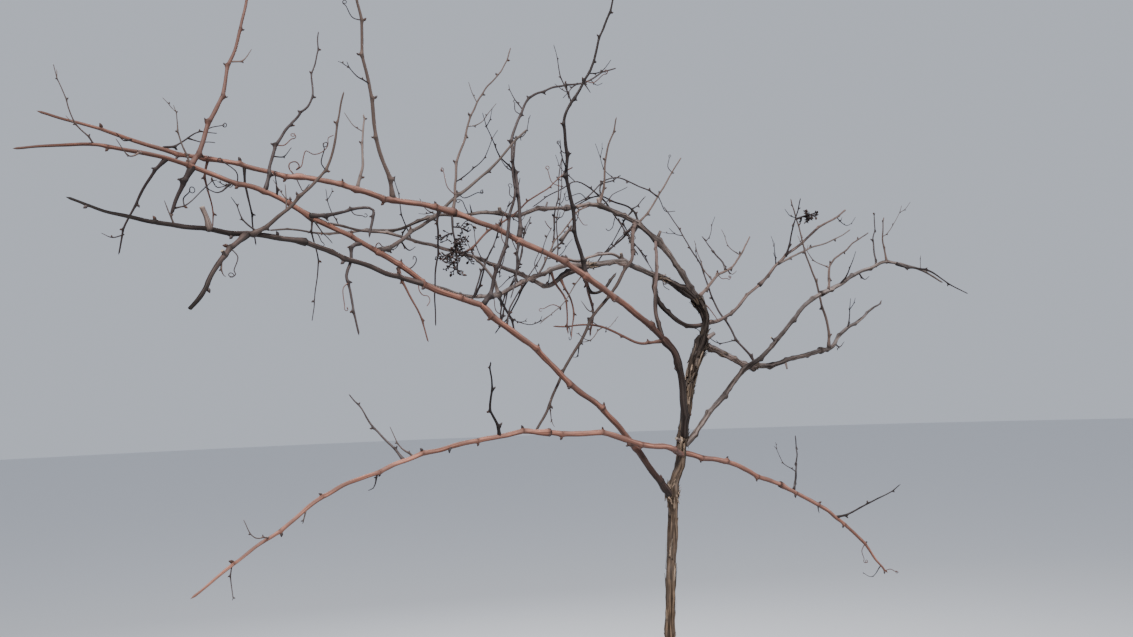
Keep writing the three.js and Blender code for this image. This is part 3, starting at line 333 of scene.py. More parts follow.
# Tendrils that show best
TENDRILS = (
    Limb("arch_end_twigs", "tendril", (1.1, 0.7), ((-291, 61, 1740), (-298, 59, 1751), (-304, 58, 1762),
        (-313, 57, 1764), (-317, 56, 1760), (-313, 55, 1757), (-310, 55, 1761))),
    Limb("arch_arm_3", "tendril", (1.1, 0.7), ((-68, 64, 1770), (-60, 61, 1753), (-48, 57, 1734),
        (-41, 56, 1734))),
    Limb("arch_arm_2", "tendril", (1.1, 0.7), ((32, 63, 1763), (30, 68, 1748), (27, 71, 1735),
        (19, 74, 1729), (15, 75, 1733))),
    Limb("lower_cane_1", "tendril", (1.1, 0.7), ((-177, -35, 1703), (-187, -40, 1709),
        (-193, -43, 1715))),
    Limb("lower_cane_3", "tendril", (1.1, 0.7), ((-470, -68, 1617), (-459, -70, 1618),
        (-451, -73, 1628), (-452, -75, 1635), (-457, -77, 1636), (-458, -78, 1631))),
    Limb("lower_cane_3", "tendril", (1.1, 0.7), ((-444, -66, 1601), (-446, -71, 1583),
        (-441, -73, 1575), (-433, -76, 1573), (-431, -78, 1565), (-437, -80, 1557))),
    Limb("upper_cane_end_twigs", "tendril", (1.1, 0.7), ((-634, -45, 1756), (-630, -55, 1739),
        (-627, -60, 1731), (-620, -69, 1740))),
    Limb("upper_cane_end_twigs", "tendril", (1.1, 0.7), ((-634, -45, 1756), (-643, -43, 1769),
        (-641, -41, 1777), (-631, -40, 1780), (-626, -39, 1774), (-631, -38, 1768), (-622, -36, 1775),
        (-618, -34, 1789), (-613, -32, 1801), (-601, -31, 1797), (-586, -28, 1803), (-576, -26, 1815),
        (-575, -25, 1827), (-566, -23, 1833))),
    Limb("arch_lateral_twigs", "tendril", (1.1, 0.7), ((124, 45, 1800), (132, 47, 1788),
        (144, 51, 1773), (172, 55, 1775))),
    Limb("lower_cane_3", "tendril", (1.1, 0.7), ((-513, -70, 1641), (-515, -66, 1651),
        (-509, -63, 1657), (-503, -61, 1651), (-505, -58, 1645))),
    Limb("middle_arm", "tendril", (1.1, 0.7), ((108, 25, 1634), (113, 24, 1620), (122, 23, 1624),
        (119, 21, 1634), (108, 20, 1634), (107, 17, 1615), (118, 15, 1608))),
)

# Short stubs of old shoots
SPURS = (
    Limb("arch_arm_2", "spur", (4.4, 3.9), ((-4, 65, 1776), (-10, 62, 1790))),
    Limb("arch_arm_1", "spur", (4.8, 3.4), ((124, 58, 1712), (133, 55, 1732))),
    Limb("arch_arm_2", "spur", (3.2, 2.4), ((81, 62, 1746), (68, 59, 1721), (58, 56, 1704))),
    Limb("middle_arm", "spur", (2.5, 1.4), ((109, 25, 1633), (115, 19, 1640))),
    Limb("arch_arm_3", "spur", (4.4, 3.6), ((-226, 61, 1746), (-229, 59, 1756))),
    Limb("middle_arm", "spur", (4.1, 3.1), ((17, 25, 1660), (11, 21, 1677))),
    Limb("trunk", "spur", (6.0, 4.4), ((182, 0, 1505), (210, -4, 1522))),
    Limb("arch_arm_3", "spur", (2.9, 2.0), ((-129, 63, 1761), (-122, 67, 1775))),
    Limb("right_arm_1", "spur", (3.6, 2.7), ((334, 13, 1456), (346, 19, 1472))),
    Limb("right_arm_2", "spur", (3.2, 2.4), ((416, 16, 1464), (415, 11, 1448))),
    Limb("branch_cane_end_twigs", "spur", (3.7, 2.9), ((-754, -113, 1618), (-760, -119, 1625))),
    Limb("right_cane", "spur", (3.1, 2.2), ((354, -24, 1503), (338, -28, 1512))),
    Limb("trunk", "spur", (4.6, 3.4), ((122, 0, 1311), (101, -8, 1320))),
)

# Knobs of old wood on a limb: at which share of its length, and how large
KNOBS = {
    "trunk": ((1.0, 15.5), (0.8, 15), (0.87, 12), (0.95, 11)),
    "head_arm": ((0.53, 10), (0.93, 12.5)),
    "arch_arm_1": ((0.04, 9.8), (0.31, 8), (0.71, 9), (0.98, 8)),
    "arch_arm_2": ((0.0, 8.5), (0.53, 7.1), (0.98, 7.6)),
    "arch_arm_3": ((0.34, 7.6), (0.57, 6.6), (0.82, 6.1), (1.0, 7.1)),
    "arch_end_twigs-0": ((0.22, 4.8), (0.39, 4.4)),
    "middle_arm": ((0.09, 9.3), (0.35, 8.5), (0.66, 8.2), (0.99, 8.8)),
    "middle_fork_low": ((0.41, 6.3), (0.6, 6)),
    "middle_fork_high": ((0.4, 6.5),),
    "middle_low_twigs-0": ((0.0, 5.1),),
    "middle_high_twigs-0": ((0.09, 5.3), (0.27, 4.6), (0.48, 3.9)),
    "right_arm_1": ((0.37, 8.5), (0.77, 8.8)),
    "right_arm_2": ((0.21, 7.6), (0.57, 6.8), (1.0, 7)),
    "right_cane": ((0.32, 6), (0.46, 6.5), (0.62, 6.3), (0.84, 5.6)),
    "cross_cane": ((0.19, 6), (0.52, 5.1), (0.75, 4.9)),
    "upper_cane_1": ((0.05, 8.2), (0.72, 8.5), (0.96, 9)),
    "upper_cane_2": ((0.19, 8.2), (1.0, 8.3)),
    "upper_cane_3": ((1.0, 8),),
    "upper_cane_4": ((1.0, 7.6),),
    "upper_cane_end_twigs-0": ((0.18, 7), (0.28, 6.6), (0.43, 6.6), (0.65, 5.6)),
    "lower_cane_1": ((0.05, 8.4), (0.25, 7.2), (0.97, 6.6)),
    "lower_cane_2": ((1.0, 6.5),),
    "lower_cane_3": ((1.0, 6.1),),
    "lower_cane_4": ((1.0, 5.8),),
    "lower_cane_end_twigs-0": ((0.2, 5.3), (0.46, 5.4)),
    "branch_cane": ((0.8, 4.9),),
    "branch_cane_end_twigs-0": ((0.27, 5.1),),
    "branch_cane_end_twigs-2": ((0.32, 4.6), (0.68, 3.9)),
}

# How dark a limb is painted, at even steps of its length: partly old black bark, partly painted shadow
DARKER = {
    "trunk": (0, 0, 0, 0.05, 0.1, 0.2, 0.2, 0.35, 0.45, 0.5, 0.7, 1),
    "head_arm": (1, 0.9, 1),
    "arch_arm_1": (0.8, 0.5, 0.3, 0.15, 0.35, 0.2),
    "arch_arm_2": (0.2, 0.05, 0.4),
    "arch_arm_3": (0.35, 0.2, 0.5, 0.5, 0.3),
    "arch_end_twigs-0": (0.2, 0.45, 0.35, 0.2, 0.3),
    "middle_arm": (1, 0.9, 0.45, 0.1, 0, 0.1, 0.2),
    "middle_fork_low": (0.3, 0.1, 0.1, 0.3),
    "middle_fork_high": (0.5, 0.6, 0.3),
    "middle_high_twigs-0": (0.35, 0.2, 0.1, 0.3),
    "under_cane_twigs-1": (1, 1, 0.8),
    "upper_cane_1": (1, 1, 1, 0.85),
    "upper_cane_2": (0.85, 0.5, 0.15, 0.05, 0.1),
    "upper_cane_end_twigs-0": (0, 0.1, 0, 0.1, 0.1, 0.4),
    "lower_cane_1": (1, 0.7, 0.2, 0.05, 0, 0),
    "lower_cane_end_twigs-0": (0.1, 0.2, 0.3, 0.5),
    "branch_cane": (0.1, 0.3, 0.3, 0.4),
    "branch_cane_end_twigs-0": (0.4, 0.7, 0.9, 1),
    "branch_cane_end_twigs-1": (0.5, 0.5, 0.3, 0.2),
    "branch_cane_end_twigs-2": (0.3, 0.4, 0.8, 1),
    "right_arm_1": (0.8, 0.3, 0.2, 0.6),
    "right_arm_2": (0.6, 0.85, 0.75, 0.6),
    "right_arm_end_twigs-0": (0.5, 0.3, 0.2, 0.3),
    "right_cane": (0.1, 0.2, 0.6, 0.85, 0.6, 0.3, 0.1),
    "cross_cane": (0.5, 1.0, 0.7, 0.2, 0, 0),
    "link_cane": (0.85, 0.6, 0.3, 0.1, 0.1),
    "arch_hanging_twigs-0": (0.1, 0.5, 0.7, 0.7, 0.7, 0.6),
    "slanting_shoot_twigs-0": (0.5, 0.3, 0.3),
    "low_left_cane": (0.5, 0.1, 0, 0),
    "low_right_cane": (0.3, 0.05, 0.1),
}

# The root flare, and the rules for fine twigs and clusters, as the solids have them
FLARE = {"radius": 20, "height": 120, "curve": 2.2, "lobes": 5, "depth": 0.16}
CLEARANCE = 1.5
LEAST_RADIUS = 1.2
TEST_STEPS = {"bough": 34, "shoot": 60, "twig": 45}  # lengths of the straight pieces compared
TWIG_RULE = {
    "every": 85 * 0.75,
    "first": 60,
    "last": 15,
    "chance": 0.42,
    "reach": (30, 105),
    "favour": 1.6,
    "turn": 2.2,
    "spread": 0.95,
    "elbow": 0.5,
    "stretch": 0.92,
    "lift": 0.35,
    "share": 0.55,
    "thickest": 2.4,
    "room": 120,
}
CLUSTER_RULE = {
    "branches": 8,
    "turn": 2.4,
    "top": -0.42,
    "height": 0.85,
    "tail": 0.45,
    "reach": 0.37,
    "least": 0.65,
    "narrowing": 0.45,
    "steepness": 0.9,
    "rising": 0.4,
    "elbow": 0.55,
    "droop": 0.15,
    "fork": 0.3,
    "fork_spread": 0.7,
}

# Finer spurs on the fine twigs' nodes, which the solids leave out
FINE_SPUR_RULE = {
    "first": 14,
    "chance": 0.3,
    "reach": (9, 30),
    "along": 0.75,
    "out": 0.66,
    "lift": 0.2,
    "thickest": 1.1,
    "thinnest": 0.65,
}
# How a tendril winds up: its points a turn, and how much its coil narrows and climbs at each
COIL = {
    "chance": 0.13,
    "length": (16, 42),
    "turns": (0.8, 2.2),
    "radius": (3.0, 5.5),
    "points": 7,
    "narrowing": 0.05,
    "pitch": 0.55,
}
LARGER_CLUSTER = 88  # size of a dried cluster whose branchlets stand closest
GROUND_BAND = 0.0021  # metres: what lies lower is pressed flat at the ground
FURROWED_RADIUS = 8  # an arm as thick as this has furrows of their full depth
PEELING_RADIUS = 6.7  # the thinnest limb whose bark comes off in strips
YOUNG_ARMS = ("cross", "link")
# Which tone each family of canes has
CANE_TONES = {"upper": 0, "lower": 1, "branch": 2, "low": 3}

# Loose strips of bark: where they begin, how far apart they are, how long and how far they lift,
# and which tones they have
Strips = namedtuple("Strips", "start spacing longest lift darkest tones")
LOOSE_STRIPS = {
    "trunk": Strips(FLARE["height"], 11, 60, 2.2, 1, 3),
    "arm": Strips(0, 20, 34, 1.3, 0, 2),
}
# Where the bark frays: limb, share of its length, strips, how far they lift, tones
FRAYED = (
    ("trunk", 0.8, 46, 6, (2, 3)),
    ("trunk", 0.872, 24, 4, (1, 2)),
    ("trunk", 0.94, 20, 4, (0, 1)),
    ("trunk", 0.985, 30, 5, (0, 0)),
    ("head_arm", 0.12, 22, 4, (0, 0)),
    ("head_arm", 0.9, 26, 4, (0, 1)),
    ("middle_arm", 0.97, 22, 4, (2, 3)),
    ("middle_arm", 0.32, 14, 3, (1, 2)),
    ("cross_cane", 0.08, 14, 3, (1, 2)),
    ("right_arm_1", 0.98, 12, 3, (0, 0)),
)

# How each look is skinned: sides and step of its tube, length between two nodes, how far a node
# swells, how far the limb kinks there and wanders between, its buds' length, how slim it is
# between its nodes against the solids, and how much slimmer still at its tip
Style = namedtuple("Style", "sides step internode swell kink wander bud slim taper")
STYLES = {
    "trunk": Style(64, 3.2, 0, 0, 0, 2.5, 0, 1.0, 0),
    "old": Style(36, 3.5, 62, 0.26, 2.0, 3.0, 0, 0.95, 0),
    "cane": Style(28, 8, 88, 0.26, 2.6, 2.8, 7, 0.94, 0),
    "tan": Style(14, 9, 60, 0.5, 2.2, 2.4, 5.4, 0.9, 0.15),
    "red": Style(14, 9, 56, 0.45, 2.2, 2.2, 4.8, 0.92, 0.15),
    "dark": Style(12, 9, 50, 0.6, 2.6, 2.4, 4.8, 0.92, 0.2),
    "twig": Style(8, 7, 30, 0.5, 1.6, 1.2, 3.2, 0.85, 0.2),
    "spur": Style(24, 2.5, 0, 0, 0, 0.6, 0, 0.95, 0),
    "rachis": Style(8, 4, 0, 0, 0, 2.5, 0, 0.9, 0),
    "pedicel": Style(6, 4, 0, 0, 0, 0, 0, 1.0, 0),
    "tendril": Style(6, 2.5, 0, 0, 0, 0, 0, 1.0, 0),
}
NODE_RINGS = (-11, -7, -4.2, -2, 0, 2, 4.2, 7, 11)


class Course:
    """The curve through a limb's points, read by share of its length."""

    parts = 200

    def __init__(self, points):
        self.points = np.array(points, float)
        self.shares = np.linspace(0, 1, self.parts + 1)
        places = self.spline(self.shares)
        steps = np.linalg.norm(np.diff(places, axis=0), axis=1)
        self.lengths = np.concatenate(([0.0], np.cumsum(steps)))
        self.length = float(self.lengths[-1])

    def spline(self, u):
        """Places on a centripetal curve through the points, at u from 0 to 1."""
        p = self.points
        ends = np.vstack([2 * p[0] - p[1], p, 2 * p[-1] - p[-2]])
        place = np.clip(u, 0, 1) * (len(p) - 1)
        i = np.minimum(place.astype(int), len(p) - 2)
        w = (place - i)[:, None]
        p0, p1, p2, p3 = (ends[i + k] for k in range(4))
        d0 = np.linalg.norm(p1 - p0, axis=1)[:, None] ** 0.5
        d1 = np.linalg.norm(p2 - p1, axis=1)[:, None] ** 0.5
        d2 = np.linalg.norm(p3 - p2, axis=1)[:, None] ** 0.5
        leave = ((p1 - p0) / d0 - (p2 - p0) / (d0 + d1) + (p2 - p1) / d1) * d1
        arrive = ((p2 - p1) / d1 - (p3 - p1) / (d1 + d2) + (p3 - p2) / d2) * d1
        square = 3 * (p2 - p1) - 2 * leave - arrive
        cube = 2 * (p1 - p2) + leave + arrive
        return p1 + w * leave + w ** 2 * square + w ** 3 * cube

    def at(self, share):
        share = np.atleast_1d(np.asarray(share, float))
        return self.spline(np.interp(share * self.length, self.lengths, self.shares))

    def heading(self, share):
        share = np.atleast_1d(np.asarray(share, float))
        ahead = self.at(np.minimum(share + 1e-4, 1)) - self.at(np.maximum(share - 1e-4, 0))
        return unit(ahead)


def unit(vectors):
    return vectors / np.linalg.norm(vectors, axis=-1, keepdims=True)


def outward(normal, binormal, angle):
    """The way out of a limb, at an angle round it."""
    return normal * math.cos(angle) + binormal * math.sin(angle)


def along(values, share):
    """The value at a share, from 0 to 1, of evenly spaced values."""
    return np.interp(share, np.linspace(0, 1, len(values)), values)


def seeded(seed):
    """A repeatable stream of numbers between 0 and 1, the same as the solids have."""
    state = seed * 7919 % 2147483647
    while True:
        state = state * 16807 % 2147483647
        yield state / 2147483647


def carried(headings, first):
    """Crosswise directions along a limb that turn no more than it bends."""
    normals = np.empty_like(headings)
    normal = first
    for i, heading in enumerate(headings):
        normal = normal - heading * (normal @ heading)
        normal = normal / np.linalg.norm(normal)
        normals[i] = normal
    return normals


class Axis:
    """A limb's axis, with its frame and radius all along it, that kinks and swells at its nodes."""

    step = 2.0
    hold = 40  # how near a held end the limb begins to keep to its curve
    strengths_range = (0.55, 1.35)
    knob_width = 0.85
    knob_growth = 0.85
    knob_lean = 0.45

    def __init__(self, limb, style, rng, held_at_tip=False, knobs=(), dark=(0, 0)):
        self.style = style
        course = Course(limb.points)
        self.length = course.length
        self.s = np.linspace(0, self.length, max(8, int(self.length / self.step)) + 1)
        shares = self.s / self.length
        self.places = course.at(shares)
        self.radii = along(limb.radii, shares) * style.slim * (1 - style.taper * shares)
        # How dark the limb is painted along it: partly old black bark, partly painted shadow
        self.dark = along(dark, shares)
        self.headings = course.heading(shares)
        first = np.cross(self.headings[0], ACROSS)
        if np.linalg.norm(first) < 0.1:
            first = np.array((1.0, 0.0, 0.0))
        self.normals = carried(self.headings, first)
        self.binormals = np.cross(self.headings, self.normals)
        self.nodes = self.node_lengths(rng)
        self.strengths = np.array([rng.uniform(*self.strengths_range) for _ in self.nodes])
        self.rings = np.zeros_like(self.s)
        self.held = np.minimum(1, self.s / self.hold)
        if held_at_tip:
            self.held = self.held * np.minimum(1, (self.length - self.s) / self.hold)
        if style.wander:
            self.wander(rng)
        if len(self.nodes):
            self.bend_at_nodes()
        self.gnarls = np.zeros_like(self.s)
        for share, size in knobs:
            self.add_knob(share * self.length, size)

    def add_knob(self, s, size):
        """Thickens the limb to a knob of old wood."""
        bump = np.exp(-(((self.s - s) / (self.knob_width * size)) ** 2))
        more = np.maximum(size - self.radii, 0) * bump
        side = 1 if round(s) % 2 else -1
        lean = self.knob_lean * side * more * self.held
        self.places = self.places + self.normals * lean[:, None]
        self.radii = self.radii + more * self.knob_growth
        self.gnarls = np.maximum(self.gnarls, bump)

    def node_lengths(self, rng):
        style = self.style
        nodes = []
        s = style.internode * rng.uniform(0.35, 0.6)
        while style.internode and s < self.length - 4:
            nodes.append(s)
            s += style.internode * rng.uniform(0.75, 1.25)
        return np.array(nodes)

    def wander(self, rng):
        """Strays a little to each side, as a limb does that grew towards the light."""
        start = rng.uniform(0, 90)
        stretch = 26 + 4 * float(self.radii.mean())
        for side, across in enumerate((self.normals, self.binormals)):
            drift = [noise.noise(Vector((s / stretch + start, side * 7.3, 0.5))) for s in self.s]
            drift = np.array(drift) * self.held * self.style.wander
            self.places = self.places + across * drift[:, None]
        uneven = [noise.noise(Vector((s / 13 + start, 3.7, 1.5))) for s in self.s]
        self.radii = self.radii * (1 + 0.12 * np.array(uneven))

    def bend_at_nodes(self):
        style = self.style
        sides = np.where(np.arange(len(self.nodes)) % 2, 1.0, -1.0) * self.strengths
        ends = np.concatenate(([0.0], self.nodes, [self.length]))
        swing = np.interp(self.s, ends, np.concatenate(([0.0], sides, [0.0])))
        self.places = self.places + self.normals * (swing * style.kink)[:, None]
        gap = np.abs(self.s[:, None] - self.nodes[None, :])
        width = 2.2 + self.radii[:, None] * 0.55
        bumps = np.exp(-((gap / width) ** 2))
        self.rings = bumps.max(axis=1)
        swell = self.radii * style.swell * (bumps * self.strengths).max(axis=1)
        leaning = (bumps * np.sign(sides)).sum(axis=1)
        self.places = self.places + self.normals * (leaning * swell * 0.9)[:, None]
        self.radii = self.radii + swell

    def read(self, values, s):
        """Values along the axis at lengths s."""
        if values.ndim == 1:
            return np.interp(s, self.s, values)
        return np.stack([np.interp(s, self.s, values[:, k]) for k in range(3)], axis=-1)

    def frame_at(self, s):
        """Place, heading, normal, binormal and radius at one length."""
        heading = unit(self.read(self.headings, s))
        normal = self.read(self.normals, s)
        normal = unit(normal - heading * (normal @ heading))
        place = self.read(self.places, s)
        return place, heading, normal, np.cross(heading, normal), self.read(self.radii, s)


class Skin:
    """A bmesh that tubes are added to, with what their bark reads on every point."""

    def __init__(self):
        self.bm = bmesh.new()
        self.layers(self.bm)

    @staticmethod
    def layers(bm):
        """What the bark reads on every point: its place on the limb, nearness to a node, and darkness,
        which paints old black bark and shadow.
        """
        floats = bm.verts.layers.float
        bark = bm.verts.layers.float_vector.new("bark_place")
        floats.new("node_ring")
        dark = floats.new("old_dark")
        return bark, floats["node_ring"], dark

    def absorb(self, part):
        """Takes in a part that was modelled by itself, where the operators run quicker."""
        bmesh.ops.remove_doubles(part, verts=part.verts, dist=1e-7)
        mesh = bpy.data.meshes.new("part")
        part.to_mesh(mesh)
        part.free()
        self.bm.from_mesh(mesh)
        bpy.data.meshes.remove(mesh)

    def coat(self, part, material):
        """Gives a whole part one bark, and takes it in."""
        for face in part.faces:
            face.material_index = material
            face.smooth = True
        self.absorb(part)

    def wrap(self, places, normals, binormals, radii, lengths, marks, sides, material, cut=None):
        """Wraps a grid round the rings of a tube. Radii may differ all round a ring."""
        count = len(places) - 1
        part = bmesh.new()
        bark_layer, ring_layer, dark_layer = self.layers(part)
        made = bmesh.ops.create_grid(part, x_segments=sides, y_segments=count, size=1)["verts"]
        turns = np.linspace(0, TURN, sides + 1)
        turns[-1] = 0
        out = normals[:, None] * np.cos(turns)[None, :, None]
        out = out + binormals[:, None] * np.sin(turns)[None, :, None]
        spans = radii if radii.ndim == 2 else radii[:, None]
        points = ((places[:, None] + out * spans[..., None]) * MM).tolist()
        usual = float(np.median(radii))
        bark = np.empty((count + 1, sides + 1, 3))
        bark[..., 0] = usual * np.cos(turns)
        bark[..., 1] = usual * np.sin(turns)
        bark[..., 2] = lengths[:, None]
        bark = (bark * MM).tolist()
        marks = marks.tolist()
        face_of = {}
        for vert in made:
            x = round((vert.co.x + 1) / 2 * sides)
            y = round((vert.co.y + 1) / 2 * count)
            vert.co = points[y][x]
            vert[bark_layer] = bark[y][x]
            vert[ring_layer], vert[dark_layer] = marks[y]
            for face in vert.link_faces:
                face_of[face] = min(y, face_of.get(face, y))
        for face, row in face_of.items():
            face.material_index = cut if cut is not None and row >= count - 2 else material
            face.smooth = True
        self.absorb(part)

    def tube(self, axis, material, end, relief=None, offset=0.0, cut=None):
        """Skins a whole limb, closed at its foot, with a round, cut or pointed end."""
        style = axis.style
        marks = [np.arange(0, axis.length, style.step), [axis.length]]
        marks += [node + np.array(NODE_RINGS) for node in axis.nodes]
        s = np.unique(np.round(np.concatenate(marks), 1))
        s = s[(s >= 0) & (s < axis.length - 0.6)]
        s = s[np.concatenate(([True], np.diff(s) > 0.6))]
        s = np.append(s, axis.length)
        places = axis.read(axis.places, s)
        headings = unit(axis.read(axis.headings, s))
        normals = axis.read(axis.normals, s)
        normals = unit(normals - headings * (normals * headings).sum(axis=1, keepdims=True))
        radii = axis.read(axis.radii, s)
        marks = np.stack([axis.read(axis.rings, s), axis.read(axis.dark, s)], axis=1)
        sides = style.sides
        if relief is not None:
            turns = np.linspace(0, TURN, sides + 1)
            turns[-1] = 0
            rough = 1 + 1.4 * axis.read(axis.gnarls, s)
            radii = radii[:, None] + relief(s + offset, turns, radii) * rough[:, None]
        places, headings, normals, radii, s, marks = closed(
            places, headings, normals, radii, s, marks, end
        )
        binormals = np.cross(headings, normals)
        cut = cut if end == "cut" else None
        self.wrap(places, normals, binormals, radii, s + offset, marks, sides, material, cut)

    def ball(self, place, size, way, material, taper=0.0, round_parts=(7, 6), wrinkle=0.0):
        """A small rounded body: its half sizes across and along its own way."""
        around, rings = round_parts
        part = bmesh.new()
        bark = self.layers(part)[0]
        made = bmesh.ops.create_uvsphere(part, u_segments=around, v_segments=rings, radius=1)["verts"]
        for vert in made:
            narrow = 1 - taper * max(vert.co.z, 0)
            vert.co.x *= narrow
            vert.co.y *= narrow
            if wrinkle:
                vert.co *= 1 + wrinkle * noise.noise(vert.co * 2.2 + Vector(place))
        turn = Vector(way).to_track_quat("Z", "Y").to_matrix().to_4x4()
        matrix = Matrix.Translation(Vector(place) * MM) @ turn
        matrix = matrix @ Matrix.Diagonal((size[0] * MM, size[1] * MM, size[2] * MM, 1))
        bmesh.ops.transform(part, matrix=matrix, verts=made)
        for vert in made:
            vert[bark] = vert.co
        self.coat(part, material)

    def strip(self, axis, s, angle, length, width, lift, material, thickness=0.5):
        """A loose strip of bark that lies on a limb and lifts off at its end."""
        count = max(4, int(abs(length) / 6))
        part = bmesh.new()
        bark = self.layers(part)[0]
        made = bmesh.ops.create_grid(part, x_segments=2, y_segments=count, size=1)["verts"]
        sway = noise.noise(Vector((s, angle, length))) * 0.5
        for vert in made:
            share = (vert.co.y + 1) / 2
            place, heading, normal, binormal, radius = axis.frame_at(s + length * share)
            narrow = 1 - 0.75 * share ** 2
            turn = angle + vert.co.x * width / 2 / radius * narrow + sway * share
            out = outward(normal, binormal, turn)
            height = radius + 0.2 + lift * share ** 2.2 - 0.4 * abs(vert.co.x) * (1 - share)
            if share == 0:
                height = radius - 0.6
            vert.co = (place + out * height) * MM
            vert[bark] = (turn * radius * MM, radius * MM, (s + length * share) * MM)
        bmesh.ops.solidify(part, geom=list(part.faces), thickness=thickness * MM)
        self.coat(part, material)

    def piece(self, name, slot, replaced, materials):
        """Finishes the bmesh as an object that rides on the vine and stands for its nodes."""
        bmesh.ops.remove_doubles(self.bm, verts=self.bm.verts, dist=1e-7)
        bmesh.ops.dissolve_degenerate(self.bm, edges=self.bm.edges, dist=1e-8)
        bmesh.ops.recalc_face_normals(self.bm, faces=self.bm.faces)
        mesh = bpy.data.meshes.new(name)
        self.bm.to_mesh(mesh)
        self.bm.free()
        piece = bpy.data.objects.new(name, mesh)
        bpy.context.scene.collection.objects.link(piece)
        for material in materials:
            mesh.materials.append(material)
        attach(piece, "root")
        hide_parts(*replaced)
        return piece


# Rings that close a tube: how far out, and how narrow, against its radius
ENDS = {
    "round": ((0.5, 0.87), (0.87, 0.5), (1.0, 0.0)),
    "point": ((1.2, 0.7), (2.6, 0.3), (3.4, 0.0)),
    "cut": ((0.0, 0.97), (-0.05, 0.5), (-0.08, 0.0)),
}
FOOT = ((-0.6, 0.0), (-0.45, 0.6), (-0.2, 0.88))


def closed(places, headings, normals, radii, s, marks, end):
    """Adds the rings that close a tube: a rounded foot, and a round, pointed or cut end."""
    foot = [(0, *ring) for ring in FOOT]
    middle = [(row, 0.0, 1.0) for row in range(len(s))]
    tip = [(-1, *ring) for ring in ENDS[end]]
    rows, far, narrow = (np.array(column) for column in zip(*foot, *middle, *tip))
    far = far * [np.mean(radii[row]) for row in rows]
    places = places[rows] + headings[rows] * far[:, None]
    radii = (radii[rows].T * narrow).T
    return places, headings[rows], normals[rows], radii, s[rows] + far, marks[rows]


def all_limbs():
    """Every limb, with the node that it belongs to and a key of its own."""
    for limb in LIMBS:
        yield limb.node, limb.node, limb
    for mass in MASSES:
        for place, limb in enumerate(mass.limbs):
            yield mass.name, f"{mass.name}-{place}", limb
    for place, extra in enumerate(EXTRAS):
        yield extra.node, f"extra-{place}", extra


def axis_of(key, limb):
    """A limb's axis. The end of a bough is held, because the next limb goes on from there."""
    rng = random.Random(key)
    style = STYLES[limb.look]
    return Axis(limb, style, rng, not is_of_mass(key), KNOBS.get(key, ()), DARKER.get(key, (0, 0)))


def is_of_mass(key):
    return "-" in key


class Segments:
    """Straight pieces with a radius each, to tell how near two limbs pass."""

    def __init__(self, limb=None, step=1.0):
        self.starts = np.empty((0, 3))
        self.ends = np.empty((0, 3))
        self.radii = np.empty(0)
        if limb:
            course = Course(limb.points)
            count = max(2, round(course.length / step))
            places = course.at(np.linspace(0, 1, count + 1))
            self.starts = places[:-1]
            self.ends = places[1:]
            self.radii = along(limb.radii, (np.arange(count) + 0.5) / count)

    def add(self, other):
        self.starts = np.vstack([self.starts, other.starts])
        self.ends = np.vstack([self.ends, other.ends])
        self.radii = np.concatenate([self.radii, other.radii])

    def distances(self, start, end):
        u = end - start
        v = self.ends - self.starts
        w = start - self.starts
        uu = u @ u
        uv = v @ u
        vv = (v * v).sum(axis=1)
        uw = w @ u
        vw = (w * v).sum(axis=1)
        spread = uu * vv - uv * uv
        safe = np.where(spread > 1e-9, spread, 1.0)
        s = np.where(spread > 1e-9, np.clip((uv * vw - vv * uw) / safe, 0, 1), 0.0)
        t = np.clip((uv * s + vw) / vv, 0, 1)
        s = np.clip((uv * t - uw) / uu, 0, 1)
        return np.linalg.norm(w + s[:, None] * u - t[:, None] * v, axis=1)

    def clear_of(self, other):
        for start, end, radius in zip(self.starts, self.ends, self.radii):
            gaps = other.distances(start, end)
            if np.any(gaps <= radius + other.radii + CLEARANCE):
                return False
        return True


def turned(vector, axis, angle):
    """A vector turned about a unit axis."""
    lengthwise = axis * (axis @ vector) * (1 - math.cos(angle))
    return vector * math.cos(angle) + np.cross(axis, vector) * math.sin(angle) + lengthwise


def twigs_along(carrier, stream):
    """Fine twigs spring at even steps along a limb, from alternate sides, and bend upwards."""
    rule = TWIG_RULE
    course = Course(carrier.points)
    twigs = []
    side = 1 if next(stream) < 0.5 else -1
    s = rule["first"]
    while s < course.length - rule["last"]:
        share = s / course.length
        s += rule["every"]
        least, most = rule["reach"]
        turn = (next(stream) - 0.5) * rule["turn"]
        reach = least + (most - least) * next(stream) ** rule["favour"]
        grows = next(stream) < rule["chance"]
        side = -side
        if not grows:
            continue
        axis = course.heading(share)[0]
        out = turned(unit(np.cross(axis, ACROSS)) * side, axis, turn)
        heading = axis * math.cos(rule["spread"]) + out * math.sin(rule["spread"])
        foot = course.at(share)[0]
        elbow = foot + heading * reach * rule["elbow"]
        tip = foot + heading * reach * rule["stretch"]
        tip[2] += reach * rule["lift"]
        thick = min(along(carrier.radii, share) * rule["share"], rule["thickest"])
        radii = (max(thick, LEAST_RADIUS), LEAST_RADIUS)
        twigs.append(Shoot(carrier.look, radii, (foot, elbow, tip)))
    return twigs


